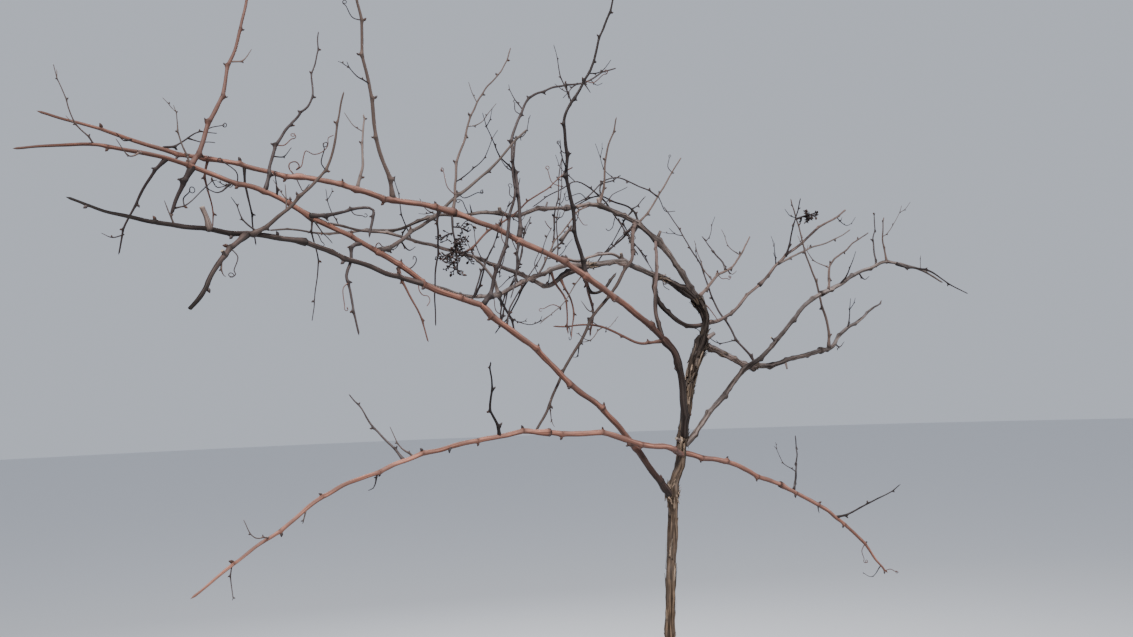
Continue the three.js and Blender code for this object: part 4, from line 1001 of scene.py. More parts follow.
def cluster_limbs(cluster):
    """A dried cluster: a stalk, and branches that turn round it, each with a short fork."""
    rule = CLUSTER_RULE
    stream = seeded(cluster.seed)
    foot, middle = np.array(cluster.foot, float), np.array(cluster.middle, float)
    down = unit(middle - foot)
    size = cluster.size
    stalk = (foot, middle, middle + down * size * rule["tail"])
    limbs = [Shoot("twig", (2.6, 1.8, 1.2), stalk)]
    for k in range(rule["branches"]):
        share = k / (rule["branches"] - 1)
        start = middle + down * size * (rule["top"] + share * rule["height"])
        angle = k * rule["turn"]
        rise = (next(stream) - 1 + rule["rising"]) * rule["steepness"]
        heading = unit(np.array((math.cos(angle), math.sin(angle), rise)))
        width = rule["least"] + (1 - rule["least"]) * next(stream)
        reach = size * rule["reach"] * width * (1 - rule["narrowing"] * share)
        elbow = start + heading * reach * rule["elbow"]
        tip = start + heading * reach
        tip[2] -= reach * rule["droop"]
        limbs.append(Shoot("twig", (1.7, 1.2), (start, elbow, tip)))
        fork = elbow + heading * reach * rule["fork"]
        fork[0] += (next(stream) - 0.5) * reach * rule["fork_spread"]
        fork[2] += (next(stream) - 0.5) * reach * rule["fork_spread"]
        limbs.append(Shoot("twig", (1.5, 1.2), (elbow, fork)))
    return limbs


@lru_cache
def grown_twigs():
    """The masses' fine twigs, by the solids' rule: those that pass nothing too closely."""
    boughs = Segments()
    for limb in LIMBS:
        boughs.add(Segments(limb, TEST_STEPS["bough"]))
    own = {}
    for mass in MASSES:
        own[mass.name] = Segments()
        drawn = [limb for cluster in mass.clusters for limb in cluster_limbs(cluster)]
        for limb in (*mass.limbs, *drawn):
            own[mass.name].add(Segments(limb, TEST_STEPS["shoot"]))
    grown = []
    for mass in MASSES:
        others = Segments()
        others.add(boughs)
        for name, pieces in own.items():
            if name != mass.name:
                others.add(pieces)
        points = np.vstack([limb.points for limb in mass.limbs])
        low = points.min(axis=0) - TWIG_RULE["room"]
        high = points.max(axis=0) + TWIG_RULE["room"]
        stream = seeded(mass.seed)
        for twig in [twig for limb in mass.limbs for twig in twigs_along(limb, stream)]:
            pieces = Segments(twig, TEST_STEPS["twig"])
            inside = np.all(np.array(twig.points) >= low) and np.all(np.array(twig.points) <= high)
            if inside and pieces.clear_of(others):
                own[mass.name].add(pieces)
                grown.append((mass.name, twig))
    return grown


def finer_twigs(axis, rng):
    """Spurs finer than the solids have, on a twig's own nodes."""
    rule = FINE_SPUR_RULE
    finer = []
    for s in axis.nodes:
        if s < rule["first"] or rng.random() > rule["chance"]:
            continue
        place, heading, normal, binormal, radius = axis.frame_at(s)
        out = outward(normal, binormal, rng.uniform(0, TURN))
        length = rng.uniform(*rule["reach"])
        bend = heading * rule["along"] + out * rule["out"]
        tip = place + bend * length + np.array((0, 0, rule["lift"])) * length
        radii = (min(radius, rule["thickest"]), rule["thinnest"])
        finer.append(Shoot("twig", radii, (place, place + bend * length * 0.5, tip)))
    return finer


# Materials


class Wiring:
    """Adds nodes to a node tree and joins them."""

    def __init__(self, tree):
        self.tree = tree

    def add(self, kind, sockets=None, **settings):
        node = self.tree.nodes.new(kind)
        for name, value in settings.items():
            setattr(node, name, value)
        for name, value in (sockets or {}).items():
            self.put(node.inputs[name], value)
        return node

    def put(self, socket, value):
        if isinstance(value, bpy.types.NodeSocket):
            self.tree.links.new(value, socket)
        else:
            socket.default_value = value

    def math(self, operation, a, b):
        node = self.add("ShaderNodeMath", {0: a, 1: b}, operation=operation)
        return node.outputs[0]

    def ranged(self, value, low, high, bottom=0.0, top=1.0):
        sockets = {"Value": value, "From Min": low, "From Max": high, "To Min": bottom, "To Max": top}
        return self.add("ShaderNodeMapRange", sockets, clamp=True).outputs["Result"]

    def mixed(self, factor, a, b):
        node = self.add("ShaderNodeMix", data_type="RGBA")
        self.put(node.inputs[0], factor)
        self.put(node.inputs[6], a)
        self.put(node.inputs[7], b)
        return node.outputs[2]

    def noise(self, vector, scale, detail, roughness):
        sockets = {"Vector": vector, "Scale": scale, "Detail": detail, "Roughness": roughness}
        return self.add("ShaderNodeTexNoise", sockets).outputs["Fac"]

    def attribute(self, name, output):
        return self.add("ShaderNodeAttribute", attribute_name=name).outputs[output]


def shader_group(name, inputs, outputs):
    """An empty shader group with value sockets: its wiring, its inputs and its output node."""
    tree = bpy.data.node_groups.new(name, "ShaderNodeTree")
    for label, value in inputs.items():
        socket = tree.interface.new_socket(label, in_out="INPUT", socket_type="NodeSocketFloat")
        socket.default_value = value
    for label in outputs:
        tree.interface.new_socket(label, in_out="OUTPUT", socket_type="NodeSocketFloat")
    wiring = Wiring(tree)
    enter = wiring.add("NodeGroupInput")
    leave = wiring.add("NodeGroupOutput")
    return wiring, enter.outputs, leave.inputs


def bark_fibres():
    """Fibres that run lengthwise on a limb, wherever it bends, and longer patches of tone."""
    given_values = {"Around": 300.0, "Along": 18.0, "Contrast": 0.5}
    wiring, given, out = shader_group("Bark fibres", given_values, ("Fibre", "Height", "Patch"))
    place = wiring.attribute("bark_place", "Vector")
    around = given["Around"]
    scale = wiring.add("ShaderNodeCombineXYZ", {0: around, 1: around, 2: given["Along"]}).outputs[0]
    drawn = wiring.add("ShaderNodeVectorMath", {0: place, 1: scale}, operation="MULTIPLY").outputs[0]
    coarse = wiring.noise(drawn, 1.0, 3.0, 0.55)
    fine = wiring.noise(drawn, 3.1, 2.0, 0.6)
    both = wiring.math("ADD", wiring.math("MULTIPLY", coarse, 0.65), wiring.math("MULTIPLY", fine, 0.35))
    half = wiring.math("MULTIPLY", wiring.math("SUBTRACT", 1.0, given["Contrast"]), 0.3)
    low = wiring.math("SUBTRACT", 0.46, half)
    high = wiring.math("ADD", 0.54, half)
    wiring.put(out["Fibre"], wiring.ranged(both, low, high))
    wiring.put(out["Height"], both)
    spread = wiring.add("ShaderNodeVectorMath", {0: place, 1: (70, 70, 24)}, operation="MULTIPLY")
    patch = wiring.noise(spread.outputs[0], 1.0, 2.0, 0.5)
    wiring.put(out["Patch"], wiring.ranged(patch, 0.4, 0.6))
    return wiring.tree


def weathering_and_painted_light():
    """Where the upper side is greyed in patches, partly by weathering and partly as a painted highlight,
    and where painted shade darkens the side that faces down.
    """
    wiring, given, out = shader_group("Weathering", {"Patches": 30.0, "Amount": 1.0}, ("Top", "Under"))
    normal = wiring.add("ShaderNodeNewGeometry").outputs["Normal"]
    height = wiring.add("ShaderNodeSeparateXYZ", {0: normal}).outputs["Z"]
    place = wiring.add("ShaderNodeTexCoord").outputs["Object"]
    patches = wiring.ranged(wiring.noise(place, given["Patches"], 3.0, 0.6), 0.36, 0.62)
    # A lighter, greyed top: partly weathered bark, partly a painted highlight of the lit upper side
    upward = wiring.ranged(height, -0.1, 0.85)
    both = wiring.math("MULTIPLY", upward, patches)
    wiring.put(out["Top"], wiring.math("MULTIPLY", both, given["Amount"]))
    # Painted shade: darker the more a side faces down
    wiring.put(out["Under"], wiring.ranged(height, 0.15, -0.75))
    return wiring.tree


def node_rings():
    """The darker swelling at each bud's node, and the broken scar round it."""
    wiring, given, out = shader_group("Node rings", {"Edge": 0.8}, ("Swell", "Scar"))
    ring = wiring.attribute("node_ring", "Fac")
    place = wiring.add("ShaderNodeTexCoord").outputs["Object"]
    broken = wiring.ranged(wiring.noise(place, 160.0, 2.0, 0.6), 0.4, 0.62)
    wiring.put(out["Swell"], wiring.ranged(ring, 0.15, 0.9))
    scar = wiring.ranged(ring, given["Edge"], 0.97)
    wiring.put(out["Scar"], wiring.math("MULTIPLY", scar, broken))
    return wiring.tree


def specks():
    """Small dark specks and pores."""
    wiring, given, out = shader_group("Specks", {"Size": 500.0, "Amount": 0.5}, ("Speck",))
    place = wiring.add("ShaderNodeTexCoord").outputs["Object"]
    spots = wiring.ranged(wiring.noise(place, given["Size"], 1.0, 0.5), 0.6, 0.72)
    wiring.put(out["Speck"], wiring.math("MULTIPLY", spots, given["Amount"]))
    return wiring.tree


def placed(wiring, build, name, **values):
    """A shader group in a material, built the first time, with this material's own values."""
    tree = bpy.data.node_groups.get(name) or build()
    node = wiring.add("ShaderNodeGroup", node_tree=tree)
    for label, value in values.items():
        node.inputs[label].default_value = value
    return node.outputs


def linear(red, green, blue):
    """A colour as Blender holds it, from its screen value of 0 to 255."""
    return tuple(((value / 255 + 0.055) / 1.055) ** 2.4 for value in (red, green, blue))


def shade(colour, factor, grey=0.0):
    """A colour made lighter or darker, and turned towards grey."""
    mean = sum(colour) / 3
    made = [min(1.0, (part + (mean - part) * grey) * factor) for part in colour]
    return (*made, 1.0)


# How a bark looks: fibres round and along a limb (per metre), its relief, its least and most
# roughness, the fibres' contrast, how dark the painted shade on its lower side is and how dark its
# nodes are, its darkest and lightest tone against its colour, and how much its surface reflects
Finish = namedtuple("Finish", "around along bump rough contrast under nodes dark light shine")
OLD_WOOD = Finish(300, 12, 0.0026, (0.8, 0.95), 1.0, 0.6, 0.3, 0.13, 2.0, 0.08)
HEAD_WOOD = OLD_WOOD._replace(along=22, bump=0.003)
ARM_WOOD = OLD_WOOD._replace(around=340, along=16, bump=0.0018)
YOUNG_WOOD = OLD_WOOD._replace(around=420, along=14, bump=0.0012, dark=0.35, light=1.6)
CUT_WOOD = OLD_WOOD._replace(around=500, along=40, bump=0.0006, under=0.2, dark=0.55)
LOOSE_BARK = OLD_WOOD._replace(around=600, along=14, bump=0.0005, under=0.4)
SMOOTH_CANE = Finish(420, 9, 0.0009, (0.5, 0.72), 0.9, 0.9, 1.0, 0.32, 1.6, 0.12)
THIN_SHOOT = Finish(700, 16, 0.0004, (0.5, 0.7), 0.5, 0.6, 0.7, 0.45, 1.3, 0.12)
DRY_SCALES = Finish(900, 60, 0.0003, (0.6, 0.8), 0.5, 0.3, 0, 0.5, 1.4, 0.1)
DRY_STALK = DRY_SCALES._replace(along=40)
DRY_SKIN = DRY_SCALES._replace(around=600, along=300, bump=0.0006)

# Each bark's own colour and that of its top, greyed by weathering and lightened by a painted highlight,
# its finish, and its tones: how light against the colour, how grey, and how weathered and highlit its top
# is
Bark = namedtuple("Bark", "colour top finish tones")
BARKS = {
    "Trunk bark": Bark("trunk", "old_top", OLD_WOOD, ((1, 0, 0.5),)),
    "Head bark": Bark("trunk", "old_top", HEAD_WOOD, ((0.7, 0.3, 0.3),)),
    "Arm bark": Bark("arm", "old_top", ARM_WOOD, ((1, 0, 0.8), (0.75, 0.2, 0.55), (1.2, 0.2, 0.9))),
    "Young arm bark": Bark("young_arm", "cane_top", YOUNG_WOOD, ((1, 0, 0.6),)),
    "Cane bark": Bark("cane", "cane_top", SMOOTH_CANE, (
        (1, 0.05, 0.6), (0.9, 0, 0.5), (0.4, 0.6, 0.4), (1.25, 0, 0.25))),
    "Light shoot bark": Bark("light_shoot", "cane_top", THIN_SHOOT, (
        (1, 0, 0.45), (0.75, 0.15, 0.45), (1.1, 0.3, 0.45))),
    "Red shoot bark": Bark("red_shoot", "cane_top", THIN_SHOOT, ((1, 0, 0.45),)),
    "Dark shoot bark": Bark("dark_shoot", "old_top", THIN_SHOOT, (
        (1, 0, 0.3), (0.65, 0.1, 0.3), (1.5, 0.2, 0.3))),
    "Bud scales": Bark("bud", "cane_top", DRY_SCALES, ((1, 0, 0.3),)),
    "Cut wood": Bark("cut_wood", "old_top", CUT_WOOD, ((1, 0, 0.2),)),
    "Dry stalks": Bark("stalk", "old_top", DRY_STALK, ((1, 0, 0.3),)),
    "Dry skins": Bark("dry_berry", "cane_top", DRY_SKIN, ((0.3, 0, 0.3), (0.6, 0.1, 0.3), (1.1, 0.2, 0.3))),
    "Peeling bark": Bark("peel", "old_top", LOOSE_BARK, (
        (0.25, 0, 0.3), (0.4, 0, 0.3), (0.65, 0, 0.3), (1, 0, 0.3))),
}
# The darkest and lightest tone of old black bark and of painted shadow
BLACK_BARK_AND_SHADOW = ((0.003, 0.002, 0.002, 1), (0.02, 0.016, 0.015, 1))


def bark(colours, name, variant=0):
    """One tone of a bark: lengthwise fibres and patches, a greyed top that is partly weathering and partly
    a painted highlight, painted shade on its lower side, darker nodes, and dark zones that are partly old
    black bark and partly painted shadow.
    """
    kind = BARKS[name]
    label = f"{name} {variant + 1}" if len(kind.tones) > 1 else name
    made = bpy.data.materials.get(label)
    if made:
        return made
    made = bpy.data.materials.new(label)
    made.use_nodes = True
    wiring = Wiring(made.node_tree)
    shader = made.node_tree.nodes["Principled BSDF"]
    lightness, grey, worn_and_highlit = kind.tones[variant]
    colour = shade(getattr(colours, kind.colour), lightness, grey)[:3]
    top = getattr(colours, kind.top)
    finish = kind.finish
    run = {"Around": finish.around, "Along": finish.along, "Contrast": finish.contrast}
    fibres = placed(wiring, bark_fibres, "Bark fibres", **run)
    weathered_and_lit = placed(wiring, weathering_and_painted_light, "Weathering", Amount=worn_and_highlit)
    rings = placed(wiring, node_rings, "Node rings")
    spots = placed(wiring, specks, "Specks")
    # Painted shade on the lower side; the greyed top mixed in next is partly weathering, partly a painted
    # highlight
    under = wiring.math("MULTIPLY", weathered_and_lit["Under"], finish.under)
    patch = wiring.math("MULTIPLY", fibres["Patch"], finish.contrast * 0.8)
    swell = wiring.math("MULTIPLY", rings["Swell"], finish.nodes * 0.7)
    scar = wiring.math("MULTIPLY", rings["Scar"], finish.nodes)
    tone = wiring.mixed(fibres["Fibre"], shade(colour, finish.dark), shade(colour, finish.light))
    tone = wiring.mixed(0.2, tone, shade(colour, 1.0))
    tone = wiring.mixed(patch, tone, shade(colour, 0.55, 0.3))
    tone = wiring.mixed(weathered_and_lit["Top"], tone, (*top, 1.0))
    tone = wiring.mixed(under, tone, shade(colour, 0.22))
    tone = wiring.mixed(swell, tone, shade(colour, 0.4, 0.2))
    tone = wiring.mixed(scar, tone, shade(colour, 0.1))
    tone = wiring.mixed(spots["Speck"], tone, shade(colour, 0.35))
    # Dark zones: partly old black bark, partly painted shadow
    old = wiring.mixed(fibres["Fibre"], *BLACK_BARK_AND_SHADOW)
    dark = wiring.math("MULTIPLY", wiring.attribute("old_dark", "Fac"), 0.96)
    wiring.put(shader.inputs["Base Color"], wiring.mixed(dark, tone, old))
    smoothest, roughest = finish.rough
    rough = wiring.ranged(fibres["Fibre"], 0.0, 1.0, roughest, smoothest)
    wiring.put(shader.inputs["Roughness"], rough)
    shader.inputs["Specular IOR Level"].default_value = finish.shine
    sockets = {"Height": fibres["Height"], "Distance": finish.bump, "Strength": 0.8}
    raised = wiring.add("ShaderNodeBump", sockets)
    wiring.put(shader.inputs["Normal"], raised.outputs["Normal"])
    return made


def barks(colours, name, count):
    """The first few tones of a bark."""
    return [bark(colours, name, variant) for variant in range(count)]


# Pieces


def furrows(depth, width, length, twist=0.0):
    """Long ridges and furrows, deeper where the bark is older."""

    def relief(lengths, turns, radii):
        made = np.empty((len(lengths), len(turns)))
        for row, (s, radius) in enumerate(zip(lengths, radii)):
            for column, turn in enumerate(turns[:-1]):
                angle = turn + s * twist
                x, y = radius * math.cos(angle), radius * math.sin(angle)
                ridge = noise.noise(Vector((x / width, y / width, s / length)))
                crack = noise.noise(Vector((x / width * 1.9 + 7, y / width * 1.9, s / length * 1.4)))
                lump = noise.noise(Vector((x / 22, y / 22, s / 34 + 3)))
                made[row, column] = depth * (-0.2 - 1.5 * abs(ridge) + 0.7 * crack + 1.2 * lump)
            made[row, -1] = made[row, 0]
        return made

    return relief


def flared_foot(relief):
    """Adds the root flare's lobes to a relief, near the ground."""

    def flared(lengths, turns, radii):
        made = relief(lengths, turns, radii)
        rise = np.clip(1 - lengths / FLARE["height"], 0, 1)
        widening = (FLARE["radius"] - radii[0]) * rise ** FLARE["curve"]
        lobes = FLARE["depth"] * rise[:, None] * np.cos(FLARE["lobes"] * (turns + math.pi))[None, :]
        return made + widening[:, None] + (radii + widening)[:, None] * lobes

    return flared


def chosen(key):
    """Which of a material's three tones a limb has, dealt out by its key."""
    return random.Random(key + " tone").randrange(3)


# Limbs of the masses that end in a cut, with those whose tips are thick
CUT_KEYS = (
    "arch_lateral_twigs-0",
    "head_spur_twigs-0",
    "cross_cane_end_twigs-0",
    "branch_cane_end_twigs-2",
)
CUT_RADIUS = 3.5
# The swollen, dark foot of a shoot, where it springs from its limb
COLLAR = {"length": 7, "by_radius": 1.5, "swell": 0.55, "dark_length": 5, "dark": 0.9}


def add_collar(axis):
    """Swells and darkens a shoot's foot."""
    reach = COLLAR["length"] + COLLAR["by_radius"] * axis.radii
    axis.radii = axis.radii * (1 + COLLAR["swell"] * np.exp(-((axis.s / reach) ** 2)))
    foot = np.exp(-((axis.s / COLLAR["dark_length"]) ** 2))
    axis.dark = np.maximum(axis.dark, COLLAR["dark"] * foot)


def skin_limbs(skin, looks, tone_of, cut, relief_of=None):
    """Skins every limb of some looks. Returns the nodes that they stand for."""
    nodes = []
    for node, key, limb in all_limbs():
        if limb.look not in looks:
            continue
        axis = axis_of(key, limb)
        end = "round"
        if is_of_mass(key):
            add_collar(axis)
            end = "cut" if key in CUT_KEYS or limb.radii[-1] > CUT_RADIUS else "point"
        relief = relief_of(limb) if relief_of else None
        offset = 1000 * random.Random(key).random()
        skin.tube(axis, tone_of(key, limb), end, relief, offset, cut)
        nodes.append(node)
    return sorted(set(nodes))


def build_trunk(sizes, colours):
    skin = Skin()
    depth = sizes.trunk_relief / MM
    trunk, head = LIMBS[0], LIMBS[1]
    skin.tube(axis_of("trunk", trunk), 0, "round", flared_foot(furrows(depth, 4.6, 80, 0.002)))
    for vert in skin.bm.verts:
        if vert.co.z < GROUND_BAND:
            vert.co.z = 0
    skin.tube(axis_of("head_arm", head), 1, "round", furrows(depth * 1.4, 5, 26))
    materials = [bark(colours, "Trunk bark"), bark(colours, "Head bark")]
    return skin.piece("trunk_and_head", "trunk_bark", ["trunk", "head_arm"], materials)


def build_old_arms(sizes, colours):
    skin = Skin()

    def relief_of(limb):
        deepest = sizes.arm_relief / MM
        return furrows(deepest * min(1, (np.mean(limb.radii) / FURROWED_RADIUS) ** 2), 5, 45)

    def tone_of(key, limb):
        return 4 if key.split("_")[0] in YOUNG_ARMS else chosen(key)

    nodes = skin_limbs(skin, ("old",), tone_of, 3, relief_of)
    materials = barks(colours, "Arm bark", 3)
    materials += [bark(colours, "Cut wood"), bark(colours, "Young arm bark")]
    return skin.piece("old_arms", "arm_bark", nodes, materials)


def build_spurs(sizes, colours):
    """Short stubs of old shoots with pale cut ends."""
    skin = Skin()
    relief = furrows(sizes.arm_relief / MM * 0.7, 4, 30)
    for place, spur in enumerate(SPURS):
        axis = Axis(spur, STYLES["spur"], random.Random(f"spur {place}"))
        skin.tube(axis, 1 if place % 3 else 0, "cut", relief, place * 90.0, 3)
    materials = barks(colours, "Arm bark", 3) + [bark(colours, "Cut wood")]
    return skin.piece("spurs", "arm_bark", sorted({spur.node for spur in SPURS}), materials)


def build_long_canes(sizes, colours):
    skin = Skin()

    def tone_of(key, limb):
        return CANE_TONES[key.split("_")[0]]

    nodes = skin_limbs(skin, ("cane",), tone_of, 4)
    materials = barks(colours, "Cane bark", 4) + [bark(colours, "Cut wood")]
    return skin.piece("long_canes", "cane_bark", nodes, materials)


def build_light_shoots(sizes, colours):
    skin = Skin()

    def tone_of(key, limb):
        return 3 if limb.look == "red" else chosen(key)

    nodes = skin_limbs(skin, ("tan", "red"), tone_of, 4)
    materials = barks(colours, "Light shoot bark", 3)
    materials += [bark(colours, "Red shoot bark"), bark(colours, "Cut wood")]
    return skin.piece("light_shoots", "shoot_bark", nodes, materials)


def build_dark_shoots(sizes, colours):
    skin = Skin()
    nodes = skin_limbs(skin, ("dark",), lambda key, limb: chosen(key), 3)
    materials = barks(colours, "Dark shoot bark", 3) + [bark(colours, "Cut wood")]
    return skin.piece("dark_shoots", "dark_twig", nodes, materials)


@lru_cache
def fine_axes():
    """The fine twigs' axes and those of the finer spurs on them, with their nodes and tones."""
    made = []
    for place, (node, twig) in enumerate(grown_twigs()):
        rng = random.Random(f"{node} {place}")
        dark = twig.look in ("dark", "old") or rng.random() < 0.3
        tone = rng.randrange(2) + (2 if dark else 0)
        thin = Shoot("twig", (twig.radii[0], 0.8), twig.points)
        axis = Axis(thin, STYLES["twig"], rng)
        made.append((node, tone, axis))
        for finer in finer_twigs(axis, rng):
            made.append((node, tone, Axis(finer, STYLES["twig"], rng)))
    return made


def build_fine_twigs(sizes, colours):
    skin = Skin()
    nodes = set()
    for place, (node, tone, axis) in enumerate(fine_axes()):
        skin.tube(axis, tone, "point", offset=place * 37.0)
        nodes.add(node)
    materials = barks(colours, "Light shoot bark", 2) + barks(colours, "Dark shoot bark", 2)
    return skin.piece("fine_twigs", "dark_twig", sorted(nodes), materials)


def sprung(axis, s, side, scatter, rng):
    """A place on a limb with its heading and radius, and the way out of it on one side."""
    place, heading, normal, binormal, radius = axis.frame_at(s)
    angle = (0 if side > 0 else math.pi) + rng.uniform(-scatter, scatter)
    return place, heading, outward(normal, binormal, angle), radius


def add_bud(skin, axis, s, side, length, material, rng):
    """A pointed bud on a swollen node, leaning along the limb."""
    place, heading, out, radius = sprung(axis, s, side, 0.5, rng)
    way = unit(out * 0.8 + heading * 0.6)
    middle = place + out * radius * 0.92 + way * length * 0.28
    size = (length * 0.3, length * 0.36, length * 0.55)
    skin.ball(middle, size, way, material, taper=0.6)


def build_buds(sizes, colours):
    skin = Skin()
    nodes = set()
    for node, key, limb in all_limbs():
        usual = STYLES[limb.look].bud
        if not usual:
            continue
        axis = axis_of(key, limb)
        rng = random.Random(key + " buds")
        for place, s in enumerate(axis.nodes):
            length = usual * rng.uniform(0.75, 1.2) * sizes.bud_scale
            add_bud(skin, axis, s, 1 if place % 2 else -1, length, rng.randrange(2), rng)
        nodes.add(node)
    for seed, (node, _, axis) in enumerate(fine_axes()):
        rng = random.Random(seed)
        for place, s in enumerate(axis.nodes):
            add_bud(skin, axis, s, 1 if place % 2 else -1, STYLES["twig"].bud, rng.randrange(2), rng)
    materials = [bark(colours, "Bud scales"), bark(colours, "Dark shoot bark", 2)]
    return skin.piece("buds", "dark_twig", sorted(nodes), materials)


def build_clusters(sizes, colours):
    skin = Skin()
    nodes = []
    for mass in MASSES:
        for cluster in mass.clusters:
            nodes.append(mass.name)
            rng = random.Random(mass.name + " cluster")
            for place, limb in enumerate(cluster_limbs(cluster)):
                axis = Axis(limb, STYLES["rachis"], rng)
                skin.tube(axis, 0, "point")
                first = 5.0 if place else axis.length * 0.45
                add_branchlets(skin, axis, first, cluster.size, rng)
    materials = [bark(colours, "Dry stalks"), *barks(colours, "Dry skins", 3)]
    return skin.piece("dried_clusters", "shoot_bark", nodes, materials)


def sideways(axis, s, rng, lean):
    """A place on a limb, and a way out of it that leans along the limb."""
    place, heading, normal, binormal, radius = axis.frame_at(s)
    out = outward(normal, binormal, rng.uniform(0, TURN))
    return place, unit(out + heading * lean)


def add_branchlets(skin, axis, s, size, rng):
    """Short side branches with stalklets, all along a branch of a dried cluster from length s."""
    while s < axis.length + 1:
        place, way = sideways(axis, min(s, axis.length), rng, 0.6)
        length = rng.uniform(0.08, 0.2) * size
        tip = place + way * length
        tip[2] -= 0.15 * length
        shoot = Shoot("twig", (1.0, 0.8), (place, (place + tip) / 2 + way * 0.6, tip))
        branchlet = Axis(shoot, STYLES["pedicel"], rng)
        skin.tube(branchlet, 0, "round")
        for share in (0.45, 0.75, 1.0):
            add_pedicel(skin, branchlet, share * branchlet.length, size, rng)
        s += rng.uniform(5, 9) * math.sqrt(LARGER_CLUSTER / size)


def add_pedicel(skin, axis, s, size, rng):
    """A stalklet with a knob at its end, and often a small shrivelled skin on it."""
    place, way = sideways(axis, s, rng, 0.5)
    tip = place + way * rng.uniform(0.04, 0.09) * size
    stalklet = Shoot("twig", (0.8, 0.7), (place, (place + tip) / 2, tip))
    skin.tube(Axis(stalklet, STYLES["pedicel"], rng), 0, "round")
    skin.ball(tip, (1.6, 1.6, 1.2), way, 0, round_parts=(6, 4))
    if rng.random() < 0.5:
        broad = rng.uniform(1.6, 3.0)
        shape = (broad, broad * rng.uniform(0.5, 0.8), broad * 1.3)
        skin.ball(tip + way * broad, shape, way, 1 + rng.randrange(3), 0.3, (8, 6), 0.5)


def build_tendrils(sizes, colours):
    """Thin coiled tendrils: those that show best, and more opposite the buds of the shoots."""
    skin = Skin()
    nodes = set()
    for place, tendril in enumerate(TENDRILS):
        skin.tube(Axis(tendril, STYLES["tendril"], random.Random(place)), place % 2, "round")
        nodes.add(tendril.node)
    for node, key, limb in all_limbs():
        if not is_of_mass(key) or limb.look == "old":
            continue
        rng = random.Random(key + " tendrils")
        axis = axis_of(key, limb)
        for place, s in enumerate(axis.nodes):
            if rng.random() < COIL["chance"]:
                coil = coiled(axis, s, -1 if place % 2 else 1, rng)
                skin.tube(Axis(coil, STYLES["tendril"], rng), rng.randrange(2), "round")
                nodes.add(node)
    materials = [bark(colours, "Dark shoot bark"), bark(colours, "Red shoot bark")]
    return skin.piece("tendrils", "dark_twig", sorted(nodes), materials)


def coiled(axis, s, side, rng):
    """A tendril that leaves a node, bends over and winds up at its tip."""
    place, heading, out, radius = sprung(axis, s, side, 0.7, rng)
    length = rng.uniform(*COIL["length"])
    middle = place + (out * 0.8 + heading * 0.9) * length
    points = [place, place + (out + heading * 0.4) * length * 0.5, middle]
    across = unit(np.cross(out, heading))
    turns = rng.uniform(*COIL["turns"])
    wide = rng.uniform(*COIL["radius"])
    centre = middle + heading * wide
    for step in range(1, int(turns * COIL["points"])):
        angle = step * TURN / COIL["points"]
        shrink = wide * (1 - COIL["narrowing"] * step)
        turn = -heading * math.cos(angle) + out * math.sin(angle)
        points.append(centre + turn * shrink + across * step * COIL["pitch"])
    return Shoot("tendril", (1.0, 0.6), points)


def build_peeling_bark(sizes, colours):
    """Loose strips on the trunk and the old arms, and frayed bark round their knobs."""
    skin = Skin()
    nodes = set()
    for node, key, limb in all_limbs():
        if limb.look not in ("trunk", "old") or is_of_mass(key) or limb.radii[0] < PEELING_RADIUS:
            continue
        add_loose_strips(skin, key, limb)
        nodes.add(node)
    for key, *fray in FRAYED:
        add_frayed_bark(skin, key, *fray)
        nodes.add(key)
    materials = barks(colours, "Peeling bark", 4)
    return skin.piece("peeling_bark", "trunk_bark", sorted(nodes), materials)


def add_loose_strips(skin, key, limb):
    rng = random.Random(key + " strips")
    axis = axis_of(key, limb)
    rule = LOOSE_STRIPS["trunk" if key == "trunk" else "arm"]
    for _ in range(int((axis.length - rule.start) / rule.spacing)):
        s = rng.uniform(rule.start, axis.length - 20)
        length = min(rng.uniform(12, rule.longest), axis.length - s - 2)
        width = rng.uniform(0.25, 0.6) * limb.radii[0]
        lift = rng.uniform(0.3, rule.lift)
        if length > 8:
            tone = rule.darkest + rng.randrange(rule.tones)
            skin.strip(axis, s, rng.uniform(0, TURN), length, width, lift, tone)


def add_frayed_bark(skin, key, share, count, most, tones):
    rng = random.Random(f"{key} {share} frayed")
    limb = next(limb for limb in LIMBS if limb.node == key)
    axis = axis_of(key, limb)
    for _ in range(count):
        s = share * axis.length + rng.uniform(-1.3, 1.0) * limb.radii[0]
        length = rng.uniform(8, 22) * rng.choice((-1, 1, 1))
        width = rng.uniform(0.2, 0.55) * limb.radii[0]
        lift = rng.uniform(0.3, 1) * most
        skin.strip(axis, s, rng.uniform(0, TURN), length, width, lift, rng.choice(tones), 0.6)


# Stage

# Each lamp's place and target, its size in metres, its power in watts and its colour
LAMPS = {
    "key": ((-2.6, -3.4, 4.6), (0, 0, 1.6), 1.0, 540, (1.0, 0.95, 0.88)),
    "fill": ((3.4, -2.4, 2.4), (0, 0, 1.5), 2.6, 90, (1.0, 1.0, 1.0)),
    "rim": ((1.2, 3.4, 3.6), (0, 0, 1.6), 2.0, 120, (1.0, 1.0, 1.0)),
}
FLOOR_RADIUS = 40
FLOOR_COLOUR = (0.74, 0.75, 0.77, 1)
SKY_COLOUR = (0.82, 0.88, 1.0, 1)
SKY_STRENGTH = 0.62

# Where the photograph was taken from and which way, in metres and degrees, and its measures
EYE = (-1.0734, -1.5424, 1.4)
HEADING = -31.46
PITCH = 4.66
ROLL = -2.09
PHOTO_WIDTH = 1133  # pixels
FOCAL_LENGTH = 1000  # pixels
SENSOR_WIDTH = 36  # millimetres


def studio_light(name, place, target, size, power, colour):
    lamp = bpy.data.lights.new(name, "AREA")
    lamp.shape = "DISK"
    lamp.size = size
    lamp.energy = power
    lamp.color = colour
    light = bpy.data.objects.new(name, lamp)
    light.location = place
    way = Vector(target) - Vector(place)
    light.rotation_euler = way.to_track_quat("-Z", "Y").to_euler()
    bpy.context.scene.collection.objects.link(light)


